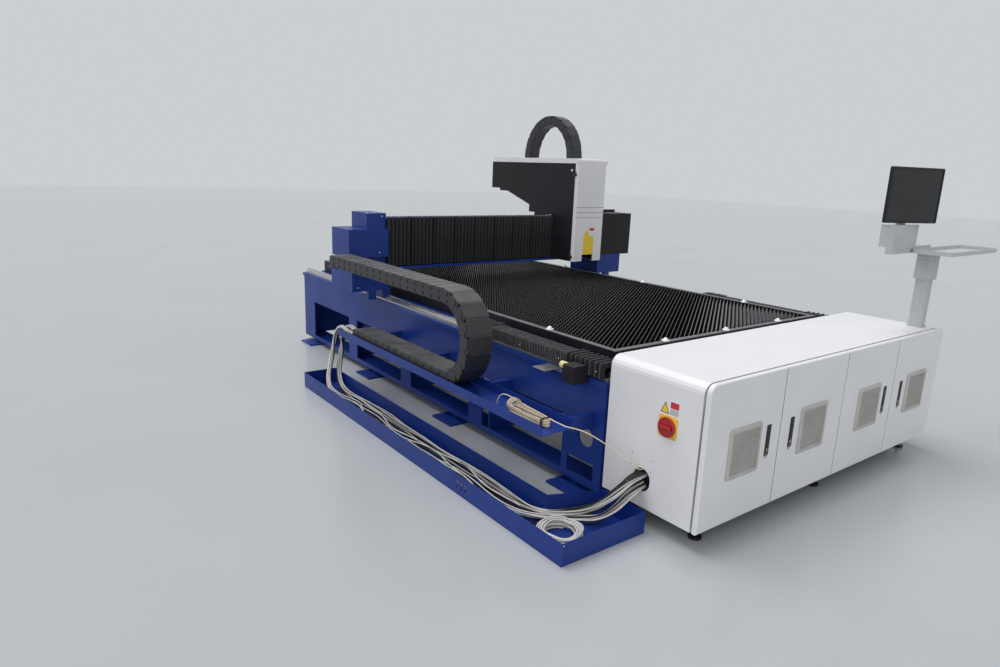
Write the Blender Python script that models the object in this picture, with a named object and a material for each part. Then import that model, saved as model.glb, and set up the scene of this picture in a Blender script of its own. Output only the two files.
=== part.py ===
"""Fiber laser cutting machine with an open slat bed, a moving gantry and a front electrical cabinet.

Frame: metres, +Z up. The origin is on the floor under the middle levelling foot of the
cabinet's front row. +X runs along the cabinet from the main switch to the monitor, +Y runs
from the cabinet's doors over the bed towards the gantry.
"""

import math

import bmesh
import bpy
from mathutils import Matrix, Vector

CLEAR = 0.0003
OVERRUN = 0.02
WELD_OVERLAP = 0.002

# Cabinet
CABINET_LENGTH = 2.5
CABINET_DEPTH = 0.62
CABINET_HEIGHT = 0.745
CABINET_FLOOR_GAP = 0.10
CABINET_SHEET = 0.003
CABINET_CORNER_RADIUS = 0.055
CABINET_FLANGE = 0.055
CABINET_POST = 0.12
CORNER_STEPS = 5
FOOT_INSET_X = 0.14
FOOT_INSET_Y = 0.10
FOOT_REAR_INSET = 0.10
FOOT_PAD_RADIUS = 0.035
FOOT_PAD_HEIGHT = 0.014
FOOT_STEM_RADIUS = 0.009
BASE_RAIL_WIDTH = 0.06
BASE_RAIL_HEIGHT = 0.03
FOOT_SIDES = 8

# Doors with their hinges
DOOR_COUNT = 4
DOOR_THICKNESS = 0.025
DOOR_GROOVE = 0.012
DOOR_SEAM = 0.003
DOOR_SKIN = 0.002
DOOR_EDGE_ROUND = 0.004
DOOR_CORNER_RADIUS = 0.045
HINGE_INSET = 0.018
HINGE_DEPTH = 0.010
HINGE_KNUCKLE_RADIUS = 0.006
HINGE_KNUCKLE_LENGTH = 0.04
HINGE_EAR_HEIGHT = 0.008
HINGE_EAR_NOSE = 0.0045
HINGE_ARM_REACH = 0.036
HINGE_ARM_WIDTH = 0.008
HINGE_HEIGHT_SHARES = (0.18, 0.82)
HINGE_SIDES = 8

# Fan filters in the doors
FILTER_SIZE = 0.262
FILTER_PROUD = 0.012
FILTER_CHAMFER = 0.009
FILTER_BORDER = 0.024
FILTER_CUTOUT = 0.224
FILTER_DEPTH = 0.020
FILTER_CENTRE_HEIGHT = 0.365
FILTER_LOUVRES = 11
FILTER_LOUVRE_DEPTH = 0.007
FILTER_LOUVRE_LAND = 0.003
FILTER_EDGE_DISTANCE = 0.3125
FILTER_TO_DOOR_GAP = 0.001

# Swing handle locks
LOCK_WIDTH = 0.027
LOCK_HEIGHT = 0.180
LOCK_DEPTH = 0.018
LOCK_PROUD = 0.002
LOCK_CENTRE_HEIGHT = 0.366
LOCK_SEAM_DISTANCE = 0.108
LOCK_PIVOT_RISE = 0.030
LOCK_PIVOT_DEPTH = 0.008
LOCK_FINGER_SHARE = 0.30
LOCK_SIDE_GAP = 0.0015
LOCK_PIN_RADIUS = 0.003

# Main switch on the left end
SWITCH_PLATE_WIDTH = 0.110
SWITCH_PLATE_HEIGHT = 0.110
SWITCH_PLATE_THICKNESS = 0.006
SWITCH_PLATE_ROUND = 0.008
SWITCH_Y = 0.122
SWITCH_Z = 0.578
SWITCH_RING_RADIUS = 0.044
SWITCH_RING_DEPTH = 0.010
SWITCH_KNOB_RADIUS = 0.034
SWITCH_KNOB_DEPTH = 0.016
SWITCH_GRIP_WIDTH = 0.020
SWITCH_GRIP_DEPTH = 0.022
SWITCH_SIDES = 20

# Cable hole with round ends in the left end
HOLE_WIDTH = 0.110
HOLE_HEIGHT = 0.124
HOLE_Y = 0.256
HOLE_Z = 0.248
HOLE_STEPS = 6

# Fittings inside the cabinet
PANEL_THICKNESS = 0.003
PANEL_BACK_GAP = 0.030
PANEL_MARGIN = 0.045
DUCT_WIDTH = 0.06
DUCT_DEPTH = 0.06
SOURCE_HEIGHT = 0.26
SOURCE_DEPTH = 0.40
SOURCE_HANDLE = 0.02
DRIVE_COUNT = 4
DRIVE_WIDTH = 0.075
DRIVE_TOP_GAP = 0.027
DRIVE_DEPTH = 0.17
DRIVE_PITCH = 0.105
CHASSIS_WIDTH = 0.42
CHASSIS_INSET = 0.07
CHASSIS_HEIGHT = 0.18
CHASSIS_DEPTH = 0.30

# Bed
BED_FRONT = 0.54
BED_LENGTH = 4.25
BED_TOP = 0.683
BED_BOTTOM = 0.045
BED_PLATE = 0.012
BED_CHANNEL_WIDTH = 0.20
BED_LIP_HEIGHT = 0.030
BED_LIP_PROUD = 0.012
BED_CROSS_COUNT = 5
BED_CROSS_TOP = 0.62
BED_LEDGE_TOP = 0.690
BED_LEDGE_WIDTH = 0.10
BED_HOLE_RADIUS = 0.058
BED_HOLE_Y = 0.674
BED_HOLE_Z = 0.332
BED_WINDOW_FRONT = 0.60
BED_WINDOW_LENGTH = 0.21
BED_WINDOW_BOTTOM = 0.09
BED_WINDOW_HEIGHT = 0.10
BED_BAY_FRONT = 0.86
BED_BAY_COUNT = 4
BED_BAY_LENGTH = 0.80
BED_BAY_PITCH = 0.96
BED_BAY_BOTTOM = 0.08
BED_BAY_HEIGHT = 0.34
BED_PAD_LENGTH = 0.24
BED_PAD_WIDTH = 0.24
BED_PAD_THICKNESS = 0.014
BED_PAD_OUT = 0.09
BED_STEM_RADIUS = 0.018
BED_FOOT_COUNT = 4
BED_FOOT_FRONT = 0.76
BED_FOOT_REAR = 4.56

# Rail ways and linear rails
WAY_WIDTH = 0.13
WAY_THICKNESS = 0.018
WAY_EDGE = 0.015
RAIL_WIDTH = 0.030
RAIL_HEIGHT = 0.026
RAIL_NECK = 0.020

# Slat table
SLAT_COUNT = 21
SLAT_PITCH = 0.1944
SLAT_FIRST_Y = 0.775
SLAT_THICKNESS = 0.003
SLAT_BOTTOM = 0.6923
SLAT_TOP = 0.800
SLAT_TOOTH_DEPTH = 0.035
SLAT_TEETH = 13
SLAT_SIDE_GAP = 0.007
COMB_THICKNESS = 0.006
COMB_TOP = 0.752
COMB_SHARES = (-0.97, 0.97)

# Table border with ball transfer units
BORDER_INSET = 0.238
BORDER_WIDTH = 0.036
BORDER_THICKNESS = 0.006
BORDER_TOP = 0.800
BORDER_FRONT = 0.690
BORDER_REAR = 4.735
BALL_FLANGE_RADIUS = 0.026
BALL_FLANGE_HEIGHT = 0.006
BALL_RADIUS = 0.016
BALL_SIDES = 8
BALL_SIDE_FIRST = 1.27
BALL_SIDE_PITCH = 1.07
BALL_SIDE_COUNT = 4
BALL_FRONT_PITCH = 0.60
BALL_FRONT_COUNT = 3

# Rail bellows
BELLOWS_FRONT = 0.560
BELLOWS_REAR = 1.78
BELLOWS_OUTER_WIDTH = 0.150
BELLOWS_OVERHANG = 0.030
BELLOWS_TOP = 0.790
BELLOWS_WALL = 0.030
BELLOWS_PLEAT_DEPTH = 0.010
BELLOWS_PLEATS = 10
BELLOWS_ROOF = 0.024

# End stops, buffers and the limit plate
STOP_WIDTH = 0.085
STOP_LENGTH = 0.090
STOP_BOTTOM = 0.655
STOP_HEIGHT = 0.100
STOP_Y = 0.665
BUFFER_RADIUS = 0.020
BUFFER_LENGTH = 0.055
BUFFER_INSET = 0.022
BUFFER_SIDES = 12
LIMIT_LENGTH = 0.11
LIMIT_WIDTH = 0.13
LIMIT_THICKNESS = 0.004
LIMIT_Y = 0.88
LIMIT_LUG = 0.030

# Chain shelf on the bed's left side
SHELF_INNER = 0.250
SHELF_WIDTH = 0.215
SHELF_FRONT = 0.520
SHELF_LENGTH = 2.40
SHELF_FLOOR = 0.490
SHELF_SHEET = 0.004
SHELF_LIP = 0.050
SHELF_BRACKETS = 4
SHELF_BRACKET_WIDTH = 0.04
SHELF_BRACKET_DEPTH = 0.09
SHELF_BRACKET_INSET = 0.12

# Cable trough on the floor
TROUGH_OUTER = 0.605
TROUGH_WIDTH = 0.262
TROUGH_FRONT = 0.170
TROUGH_LENGTH = 3.10
TROUGH_HEAD_NEAR = 0.286
TROUGH_HEAD_FAR = 0.411
TROUGH_HEAD_INNER = 0.045
TROUGH_HEIGHT = 0.118
TROUGH_SHEET = 0.003
TROUGH_SLOT = 0.012
TROUGH_SLOT_HEIGHT = 0.040
TROUGH_SLOT_Y_SHARES = (0.252, 0.264, 0.276)

# Gantry
GANTRY_FRONT = 3.10
BEAM_SETBACK = 0.085
BEAM_DEPTH = 0.235
BEAM_BOTTOM = 0.935
BEAM_TOP = 1.340
BEAM_WALL = 0.012
BEAM_OVERHANG = 0.11
BEAM_ACCESS_HOLES = 6
BEAM_ACCESS_LENGTH = 0.20
BEAM_ACCESS_HEIGHT = 0.16
BEAM_LEDGE_HEIGHT = 0.020
BEAM_RAIL_WIDTH = 0.028
BEAM_RAIL_DEPTH = 0.024
BEAM_RAIL_INSET = 0.06
LEG_INSET = 0.06
LEG_LUG_NEAR = 0.05
LEG_LUG_FAR = 0.12
LEG_LUG_LENGTH = 0.04
LEG_LUG_BOTTOM = 0.70
BLOCK_SADDLE = 0.022
BLOCK_SIDE_GAP = 0.0005
CHAIN_PLATE_ROOT = 0.11
CHAIN_PLATE_LENGTH = 0.125
CHAIN_PLATE_THICKNESS = 0.010
CHAIN_RISER = 0.018
LEG_BOTTOM = 0.770
LEG_DEPTH = 0.40
BLOCK_LENGTH = 0.11
BLOCK_WIDTH = 0.07
END_BLOCK_WIDTH = 0.17
END_BLOCK_TOP = 1.385
COVER_LEFT_MARGIN = 0.024
COVER_LEFT_REAR = 3.42
COVER_RIGHT_MARGIN = 0.125
COVER_RIGHT_REAR = 3.36
COVER_LIP = 0.044
DRIVE_GAP = 0.02
DRIVE_SETBACK = 0.16
LEFT_BOX_BOTTOM = 1.040
LEFT_BOX_TOP = 1.262
LEFT_BOX_SHEET = 0.004
RIGHT_BOX_TOP = 1.370
RIGHT_PLATE_OUT = 0.022
RIGHT_BOX_PLATE_RISE = 0.025
RIGHT_BOX_PLATE = 0.012
RIGHT_BOX_SHEET = 0.004
MOTOR_SIZE = 0.13
MOTOR_LENGTH = 0.20
GEARBOX_RADIUS = 0.055
GEARBOX_LENGTH = 0.09
MOTOR_SIDES = 12

# Gantry bellows
BEAM_BELLOWS_THICKNESS = 0.038
BEAM_BELLOWS_PLEAT = 0.016
BEAM_BELLOWS_BOTTOM = 0.962
BEAM_BELLOWS_TOP = 1.362
BEAM_BELLOWS_LEFT_PLEATS = 32
BEAM_BELLOWS_RIGHT_PLEATS = 10

# Carriage and cutting head
HEAD_LEFT = 0.550
HEAD_WIDTH = 0.370
HEAD_FRONT = 2.79
HEAD_COVER_BOTTOM = 0.955
HEAD_COVER_TOP = 1.842
HEAD_REAR = 4.09
HEAD_SHEET = 0.004
HEAD_OVERHANG_BOTTOM = 1.580
HEAD_STEP_Y = 3.95
HEAD_STEP_Z = 1.556
HEAD_KNEE_Y = 3.82
HEAD_NECK_Y = 3.46
HEAD_NECK_Z = 1.440
HEAD_BRIDGE_BOTTOM = 1.372
HEAD_LEG_REAR = 3.092
HEAD_TOP_HEIGHT = 0.044
HEAD_TOP_ROUND = 0.022
FRONT_COVER_DEPTH = 0.030
FRONT_COVER_NOTCH_WIDTH = 0.140
FRONT_COVER_NOTCH_HEIGHT = 0.060
FRONT_COVER_GROOVE = 0.004
FRONT_COVER_GROOVE_SHARES = (0.452, 0.506, 0.558)
FRONT_COVER_CHAMFER = 0.014
COVER_HINGE_SIZE = 0.022
COVER_HINGE_HEIGHT = 0.045
COVER_HINGE_SHARES = (0.06, 0.90)
CARRIAGE_INSET = 0.035
CARRIAGE_THICKNESS = 0.020
CARRIAGE_BOTTOM = 0.975
CARRIAGE_ARM_HEIGHT = 0.030
CARRIAGE_ARM_WIDTH = 0.16
CARRIAGE_TOP = 1.480
CARRIAGE_CHEEK = 0.020
CARRIAGE_ARM_END_Z = 1.620
CARRIAGE_BLOCK_WIDTH = 0.08
Z_RAIL_WIDTH = 0.022
Z_RAIL_DEPTH = 0.018
Z_RAIL_SPACING = 0.14
SLIDE_WIDTH = 0.19
SLIDE_THICKNESS = 0.018
SLIDE_BOTTOM = 1.125
SLIDE_TOP = 1.520
HEAD_BODY_WIDTH = 0.095
HEAD_BODY_DEPTH = 0.11
HEAD_BODY_BOTTOM = 1.12
HEAD_BODY_TOP = 1.46
HEAD_NOZZLE_TIP = 0.945
HEAD_NOZZLE_RADIUS = 0.004
HEAD_CONE_RADIUS = 0.024
HEAD_CONE_HEIGHT = 0.045
HEAD_BARREL_RADIUS = 0.036
HEAD_FIBRE_RADIUS = 0.020
HEAD_FIBRE_HEIGHT = 0.12
HEAD_SIDES = 14

# Drag chains
CHAIN_WIDTH = 0.180
CHAIN_HEIGHT = 0.085
CHAIN_BEND_RADIUS = 0.2075
CHAIN_LINK = 0.092
CHAIN_JOINT = 0.006
CHAIN_JOINT_INSET = 0.004
CHAIN_LOOP_Y = 1.4925
CHAIN_FIXED_Y = 2.70
CHAIN_MOVING_Y = 3.095
ARCH_WIDTH = 0.125
ARCH_SPREAD = 0.355
ARCH_RISE = 0.394
ARCH_LINKS = 14
ARCH_HEIGHT = 0.085
ARCH_CENTRE_Y = 3.365

# Monitor stand
MAST_INSET = 0.10
MAST_Y = 0.035
MAST_WIDTH = 0.085
MAST_ROUND = 0.020
MAST_BASE = 0.10
MAST_BASE_THICKNESS = 0.008
MAST_SPLIT = 1.165
SLEEVE_WIDTH = 0.115
SLEEVE_ROUND = 0.028
SLEEVE_TOP = 1.345
SLEEVE_GROOVE = 0.004
SLEEVE_GROOVE_SHARES = (0.68, 0.82)
TRAY_REACH_LEFT = 0.27
TRAY_REACH_RIGHT = 0.49
TRAY_FRONT = -0.195
TRAY_REAR = 0.040
TRAY_THICKNESS = 0.026
TRAY_SHEET = 0.004
TRAY_ROUND = 0.03
BRACKET_REACH = 0.52
BRACKET_LENGTH = 0.32
BRACKET_FRONT = 0.045
BRACKET_DEPTH = 0.085
BRACKET_BOTTOM = 1.385
BRACKET_TOP = 1.520
BRACKET_SHEET = 0.005
BRACKET_SHELF_DEPTH = 0.040
SCREEN_WIDTH = 0.430
SCREEN_HEIGHT = 0.335
SCREEN_THICKNESS = 0.022
SCREEN_BEZEL = 0.014
SCREEN_RECESS = 0.003
SCREEN_BACK_DEPTH = 0.028
SCREEN_BACK_SHARE = 0.55
SCREEN_REACH = 0.36
SCREEN_Y = 0.040
SCREEN_Z = 1.700
SCREEN_TURN_DEGREES = -17.0
SCREEN_NECK_WIDTH = 0.07
SCREEN_NECK_THICKNESS = 0.012
SCREEN_AXIS = 0.063
SCREEN_BARREL = 0.010

# Cables
BUNDLE_DIAMETER = 0.042
GREY_BUNDLE_DIAMETER = 0.034
COIL_RADIUS = 0.120
COIL_THICKNESS = 0.036
COIL_SIDES = 20
HANK_LENGTH = 0.36
HANK_WIDTH = 0.110
LEAD_DIAMETER = 0.006
CABLE_SIDES_RESOLUTION = 1
CABLE_SPACING = 3.0
CABLE_STEP = 0.024
ROUTE_STEPS = 12
BUNDLE_RISE = 0.027
BUNDLE_TURN = 0.16
COIL_SECTION = 8
COIL_WALL_DISTANCE = 0.175
COIL_END_DISTANCE = 0.205
HANK_HEIGHT = 0.045
HANK_INSET = 0.0
HANK_END_DISTANCE = 0.04
BLACK_ROUTE_SHARES = ((0.083, 0.002, 0.96), (0.198, 0.026, 0.73), (0.281, 0.122, 0.386),
                      (0.334, 0.271, 0.104), (0.413, 0.362, 0.0), (0.512, 0.428, 0.0),
                      (0.628, 0.544, 0.0), (0.678, 0.734, 0.0), (0.678, 1.064, 0.0))
GREY_ROUTE_SHARES = ((0.083, 0.0, 0.934), (0.185, 0.02, 0.656), (0.256, 0.073, 0.327),
                     (0.331, 0.172, 0.074), (0.413, 0.268, 0.0), (0.512, 0.330, 0.0),
                     (0.620, 0.428, 0.0), (0.744, 0.536, 0.0), (0.818, 0.734, 0.0),
                     (0.843, 0.998, 0.0))
RISE_ROUTE_SHARES = ((0.0, -2.5, 0.0), (0.0, -0.6, 0.0), (0.1, 0.7, 0.09), (0.55, 1.35, 0.34),
                     (0.95, 1.55, 0.66), (1.0, 1.15, 0.93), (1.0, 0.5, 1.03), (1.0, -0.2, 1.0))
CHAIN_ENTRY_SHARE = 0.18
LEAD_ROUTE_SHARES = ((0.12, 0.18, -0.01), (0.35, 0.38, 0.12), (0.62, 0.63, 0.45),
                     (0.85, 0.87, 0.84), (0.96, 0.98, 0.99))


def clear_scene():
    """Start from an empty scene."""
    for obj in list(bpy.data.objects):
        bpy.data.objects.remove(obj, do_unlink=True)


def finish(name, colour, roughness, metallic=0.0):
    """A plain Principled material."""
    material = bpy.data.materials.new(name)
    material.use_nodes = True
    shader = material.node_tree.nodes["Principled BSDF"]
    shader.inputs["Base Color"].default_value = (*colour, 1.0)
    shader.inputs["Roughness"].default_value = roughness
    shader.inputs["Metallic"].default_value = metallic
    material.diffuse_color = (*colour, 1.0)
    return material


def prism(outline, axis, start, end):
    """A closed solid: a flat outline swept along X, Y or Z."""
    place = {
        "X": lambda u, v, w: (w, u, v),
        "Y": lambda u, v, w: (u, w, v),
        "Z": lambda u, v, w: (u, v, w),
    }[axis]
    bm = bmesh.new()
    low = [bm.verts.new(place(u, v, start)) for u, v in outline]
    high = [bm.verts.new(place(u, v, end)) for u, v in outline]
    bm.faces.new(low)
    bm.faces.new(high)
    count = len(outline)
    for i in range(count):
        j = (i + 1) % count
        bm.faces.new((low[i], low[j], high[j], high[i]))
    bmesh.ops.recalc_face_normals(bm, faces=bm.faces)
    return bm


def block(x0, x1, y0, y1, z0, z1):
    """A rectangular solid between two corners."""
    return prism([(x0, y0), (x1, y0), (x1, y1), (x0, y1)], "Z", z0, z1)


def rod(axis, centre, start, end, radius, sides, end_radius=None):
    """A round or tapered bar along X, Y or Z; centre holds the two other coordinates."""
    tip = radius if end_radius is None else end_radius
    index = "XYZ".index(axis)
    bm = bmesh.new()
    rings = []
    for place, size in ((start, radius), (end, tip)):
        ring = []
        for i in range(sides):
            angle = math.tau * (i + 0.5) / sides
            point = [centre[0] + size * math.cos(angle), centre[1] + size * math.sin(angle)]
            point.insert(index, place)
            ring.append(bm.verts.new(point))
        rings.append(ring)
    bm.faces.new(rings[0])
    bm.faces.new(rings[1])
    for i in range(sides):
        j = (i + 1) % sides
        bm.faces.new((rings[0][i], rings[0][j], rings[1][j], rings[1][i]))
    bmesh.ops.recalc_face_normals(bm, faces=bm.faces)
    return bm


def loft(rings):
    """A closed solid through rings of equal point counts."""
    bm = bmesh.new()
    loops = [[bm.verts.new(point) for point in ring] for ring in rings]
    count = len(loops[0])
    bm.faces.new(loops[0])
    bm.faces.new(loops[-1])
    for lower, upper in zip(loops, loops[1:]):
        for i in range(count):
            j = (i + 1) % count
            bm.faces.new((lower[i], lower[j], upper[j], upper[i]))
    bmesh.ops.recalc_face_normals(bm, faces=bm.faces)
    return bm


def rounded(u0, u1, v0, v1, radii, steps=CORNER_STEPS):
    """A rectangle with its own radius at each corner: low-low, high-low, high-high, low-high."""
    corners = ((u0, v0, 180), (u1, v0, 270), (u1, v1, 0), (u0, v1, 90))
    inward = ((1, 1), (-1, 1), (-1, -1), (1, -1))
    outline = []
    for (u, v, first), (su, sv), radius in zip(corners, inward, radii):
        if radius <= 0:
            outline.append((u, v))
            continue
        cu = u + su * radius
        cv = v + sv * radius
        for i in range(steps + 1):
            angle = math.radians(first + 90 * i / steps)
            outline.append((cu + radius * math.cos(angle), cv + radius * math.sin(angle)))
    return outline


def slot_outline(u, v, width, height, steps=HOLE_STEPS):
    """An upright hole with round ends."""
    radius = width / 2
    return rounded(u - radius, u + radius, v - height / 2, v + height / 2, (radius,) * 4, steps)


def mesh_from(bm, name):
    """Move a bmesh into a new mesh."""
    mesh = bpy.data.meshes.new(name)
    bm.to_mesh(mesh)
    bm.free()
    return mesh


def piece(name, bm, material):
    """A named object with one material."""
    obj = bpy.data.objects.new(name, mesh_from(bm, name))
    bpy.context.scene.collection.objects.link(obj)
    obj.data.materials.append(material)
    return obj


def shape(obj, operation, solids):
    """Add or cut solids with exact Booleans."""
    for i, bm in enumerate(solids):
        tool = bpy.data.objects.new(f"{obj.name}_{operation.lower()}_{i}", mesh_from(bm, "tool"))
        bpy.context.scene.collection.objects.link(tool)
        tool.hide_render = True
        tool.display_type = "WIRE"
        tool.parent = obj.parent
        tool.matrix_parent_inverse = obj.matrix_parent_inverse
        modifier = obj.modifiers.new(f"{operation.lower()}_{i}", "BOOLEAN")
        modifier.operation = operation
        modifier.solver = "EXACT"
        modifier.object = tool
    return obj


def add(obj, *solids):
    """Weld solids to an object."""
    return shape(obj, "UNION", solids)


def cut(obj, *solids):
    """Cut solids out of an object."""
    return shape(obj, "DIFFERENCE", solids)


def merged(solids):
    """Several solids that don't touch, as one tool."""
    result = bmesh.new()
    for bm in solids:
        mesh = mesh_from(bm, "part")
        result.from_mesh(mesh)
        bpy.data.meshes.remove(mesh)
    return result


def mirrored(bm):
    """The same solid on the other side of the machine's middle plane."""
    bmesh.ops.scale(bm, vec=Vector((-1.0, 1.0, 1.0)), verts=bm.verts)
    bmesh.ops.reverse_faces(bm, faces=bm.faces)
    return bm


def round_off(obj, degrees=35.0):
    """Shade smooth between shallow edges."""
    obj.data.shade_smooth()
    obj.data.set_sharp_from_angle(angle=math.radians(degrees))
    return obj


def make_materials():
    """The machine's finishes."""
    return {
        "white": finish("white_enamel", (0.80, 0.80, 0.81), 0.35),
        "blue": finish("blue_enamel", (0.03, 0.09, 0.42), 0.40),
        "black": finish("black_enamel", (0.03, 0.03, 0.035), 0.45),
        "steel": finish("machined_steel", (0.62, 0.62, 0.61), 0.30, 1.0),
        "mill": finish("mill_steel", (0.10, 0.10, 0.11), 0.55, 1.0),
        "rubber": finish("bellows_cloth", (0.02, 0.02, 0.022), 0.80),
        "chain": finish("chain_plastic", (0.05, 0.05, 0.055), 0.55),
        "light": finish("light_plastic", (0.52, 0.52, 0.50), 0.50),
        "stand": finish("grey_enamel", (0.50, 0.51, 0.51), 0.45),
        "zinc": finish("zinc_plate", (0.60, 0.61, 0.60), 0.45, 1.0),
        "red": finish("red_plastic", (0.60, 0.02, 0.02), 0.35),
        "yellow": finish("yellow_plastic", (0.85, 0.60, 0.03), 0.40),
        "buffer": finish("buffer_rubber", (0.75, 0.72, 0.38), 0.60),
        "cable": finish("cable_jacket", (0.05, 0.05, 0.055), 0.60),
        "grey_cable": finish("grey_cable_jacket", (0.55, 0.54, 0.52), 0.60),
        "cream_cable": finish("cream_cable_jacket", (0.80, 0.74, 0.60), 0.60),
        "dark_plastic": finish("black_plastic", (0.03, 0.03, 0.033), 0.40),
    }


HALF_LENGTH = CABINET_LENGTH / 2
CABINET_TOP = CABINET_FLOOR_GAP + CABINET_HEIGHT
DOOR_FRONT = -FOOT_INSET_Y
DOOR_BACK = DOOR_FRONT + DOOR_THICKNESS
SHELL_FRONT = DOOR_BACK + DOOR_GROOVE
SHELL_REAR = DOOR_FRONT + CABINET_DEPTH
DOOR_WIDTH = CABINET_LENGTH / DOOR_COUNT
HINGE_Y = DOOR_FRONT + HINGE_DEPTH
BED_REAR = BED_FRONT + BED_LENGTH
BORDER_INNER = HALF_LENGTH - BORDER_INSET
SLAT_END = BORDER_INNER - SLAT_SIDE_GAP
BEAM_END = HALF_LENGTH + BEAM_OVERHANG
LEG_INNER = HALF_LENGTH - LEG_INSET
DRIVE_X = BEAM_END + DRIVE_GAP + MOTOR_SIZE / 2
LEG_OUTER = DRIVE_X + MOTOR_SIZE / 2
CHAIN_PLATE_INNER = LEG_OUTER - CHAIN_PLATE_ROOT
COVER_LEFT_OUTER = LEG_OUTER + COVER_LEFT_MARGIN
COVER_RIGHT_OUTER = LEG_OUTER + COVER_RIGHT_MARGIN
MAST_X = HALF_LENGTH - MAST_INSET
TRAY_LEFT = MAST_X - TRAY_REACH_LEFT
TRAY_RIGHT = MAST_X + TRAY_REACH_RIGHT
BRACKET_LEFT = MAST_X - BRACKET_REACH
BRACKET_RIGHT = BRACKET_LEFT + BRACKET_LENGTH
SCREEN_X = MAST_X - SCREEN_REACH


def hinge_places():
    """Where each door turns: its axis X and the direction from the axis into the door."""
    places = []
    for index in range(DOOR_COUNT):
        low = -HALF_LENGTH + index * DOOR_WIDTH
        if index % 2 == 0:
            places.append((low + HINGE_INSET, 1))
        else:
            places.append((low + DOOR_WIDTH - HINGE_INSET, -1))
    return places


def hinge_heights():
    """The middle heights of the two hinges of a door."""
    return [CABINET_FLOOR_GAP + share * CABINET_HEIGHT for share in HINGE_HEIGHT_SHARES]


def hinge_forks():
    """The cabinet's hinge arms: two ears round each door knuckle, on an arm out of the flange."""
    forks = []
    half = HINGE_KNUCKLE_LENGTH / 2 + CLEAR
    for x, side in hinge_places():
        inner = x + side * (HINGE_ARM_REACH - HINGE_ARM_WIDTH)
        outer = x + side * HINGE_ARM_REACH
        near = x - side * HINGE_EAR_NOSE
        for z in hinge_heights():
            for low, high in ((z + half, z + half + HINGE_EAR_HEIGHT),
                              (z - half - HINGE_EAR_HEIGHT, z - half)):
                forks.append(block(min(near, outer), max(near, outer),
                                   HINGE_Y - HINGE_KNUCKLE_RADIUS, HINGE_Y + HINGE_KNUCKLE_RADIUS,
                                   low, high))
            forks.append(block(min(inner, outer), max(inner, outer),
                               HINGE_Y - HINGE_KNUCKLE_RADIUS, SHELL_FRONT + WELD_OVERLAP,
                               z - half - HINGE_EAR_HEIGHT, z + half + HINGE_EAR_HEIGHT))
    return forks


def cabinet_outline(inset, radius):
    """The cabinet's section across Y, with round upper corners."""
    return rounded(-HALF_LENGTH + inset, HALF_LENGTH - inset,
                   CABINET_FLOOR_GAP + inset, CABINET_TOP - inset, (0, 0, radius, radius))


def make_cabinet_shell(materials):
    """Folded shell with a back, a middle partition, a front return flange and hinge arms."""
    shell = piece("cabinet_shell",
                  prism(cabinet_outline(0, CABINET_CORNER_RADIUS), "Y", SHELL_FRONT, SHELL_REAR),
                  materials["white"])
    bays = []
    mouths = []
    for side in (-1, 1):
        wall = HALF_LENGTH - CABINET_SHEET
        post = CABINET_SHEET / 2
        low, high = sorted((side * post, side * wall))
        radius = CABINET_CORNER_RADIUS - CABINET_SHEET
        radii = (0, 0, radius, 0) if side > 0 else (0, 0, 0, radius)
        bays.append(prism(rounded(low, high, CABINET_FLOOR_GAP + CABINET_SHEET,
                                  CABINET_TOP - CABINET_SHEET, radii),
                          "Y", SHELL_FRONT + CABINET_SHEET, SHELL_REAR - CABINET_SHEET))
        low, high = sorted((side * CABINET_POST / 2, side * (HALF_LENGTH - CABINET_FLANGE)))
        mouths.append(block(low, high, SHELL_FRONT - OVERRUN, SHELL_FRONT + OVERRUN,
                            CABINET_FLOOR_GAP + CABINET_FLANGE, CABINET_TOP - CABINET_FLANGE))
    cut(shell, *bays, *mouths)
    hole = prism(slot_outline(HOLE_Y, HOLE_Z, HOLE_WIDTH, HOLE_HEIGHT), "X",
                 -HALF_LENGTH - OVERRUN, -HALF_LENGTH + OVERRUN)
    cut(shell, hole)
    add(shell, *hinge_forks())
    return round_off(shell)


def make_cabinet_base(materials):
    """Base rails under the cabinet with six levelling feet."""
    top = CABINET_FLOOR_GAP - CLEAR
    low = top - BASE_RAIL_HEIGHT
    half = BASE_RAIL_WIDTH / 2
    rear = SHELL_REAR - FOOT_REAR_INSET
    reach = HALF_LENGTH - FOOT_INSET_X
    base = piece("cabinet_base", block(-reach - half, reach + half, -half, half, low, top),
                 materials["black"])
    add(base, block(-reach - half, reach + half, rear - half, rear + half, low, top))
    for x in (-reach, 0, reach):
        add(base, block(x - half, x + half, 0, rear, low, top))
        for y in (0, rear):
            add(base, rod("Z", (x, y), FOOT_PAD_HEIGHT / 2, low + WELD_OVERLAP,
                          FOOT_STEM_RADIUS, FOOT_SIDES),
                rod("Z", (x, y), 0, FOOT_PAD_HEIGHT, FOOT_PAD_RADIUS, FOOT_SIDES))
    return base


def door_outline(index, inset):
    """A door's outline; the outer doors have a round upper corner."""
    low = -HALF_LENGTH + index * DOOR_WIDTH
    left = low + (DOOR_SEAM / 2 if index > 0 else 0) + inset
    right = low + DOOR_WIDTH - (DOOR_SEAM / 2 if index < DOOR_COUNT - 1 else 0) - inset
    left_radius = DOOR_CORNER_RADIUS - inset if index == 0 else 0
    right_radius = DOOR_CORNER_RADIUS - inset if index == DOOR_COUNT - 1 else 0
    return rounded(left, right, CABINET_FLOOR_GAP + inset, CABINET_TOP - inset,
                   (0, 0, right_radius, left_radius))


def door_seam_x(index):
    """The X of the edge where a door's lock is."""
    low = -HALF_LENGTH + index * DOOR_WIDTH
    return low + DOOR_WIDTH if index % 2 == 0 else low


def lock_x(index):
    """The middle of a door's lock."""
    side = -1 if index % 2 == 0 else 1
    return door_seam_x(index) + side * LOCK_SEAM_DISTANCE


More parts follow.
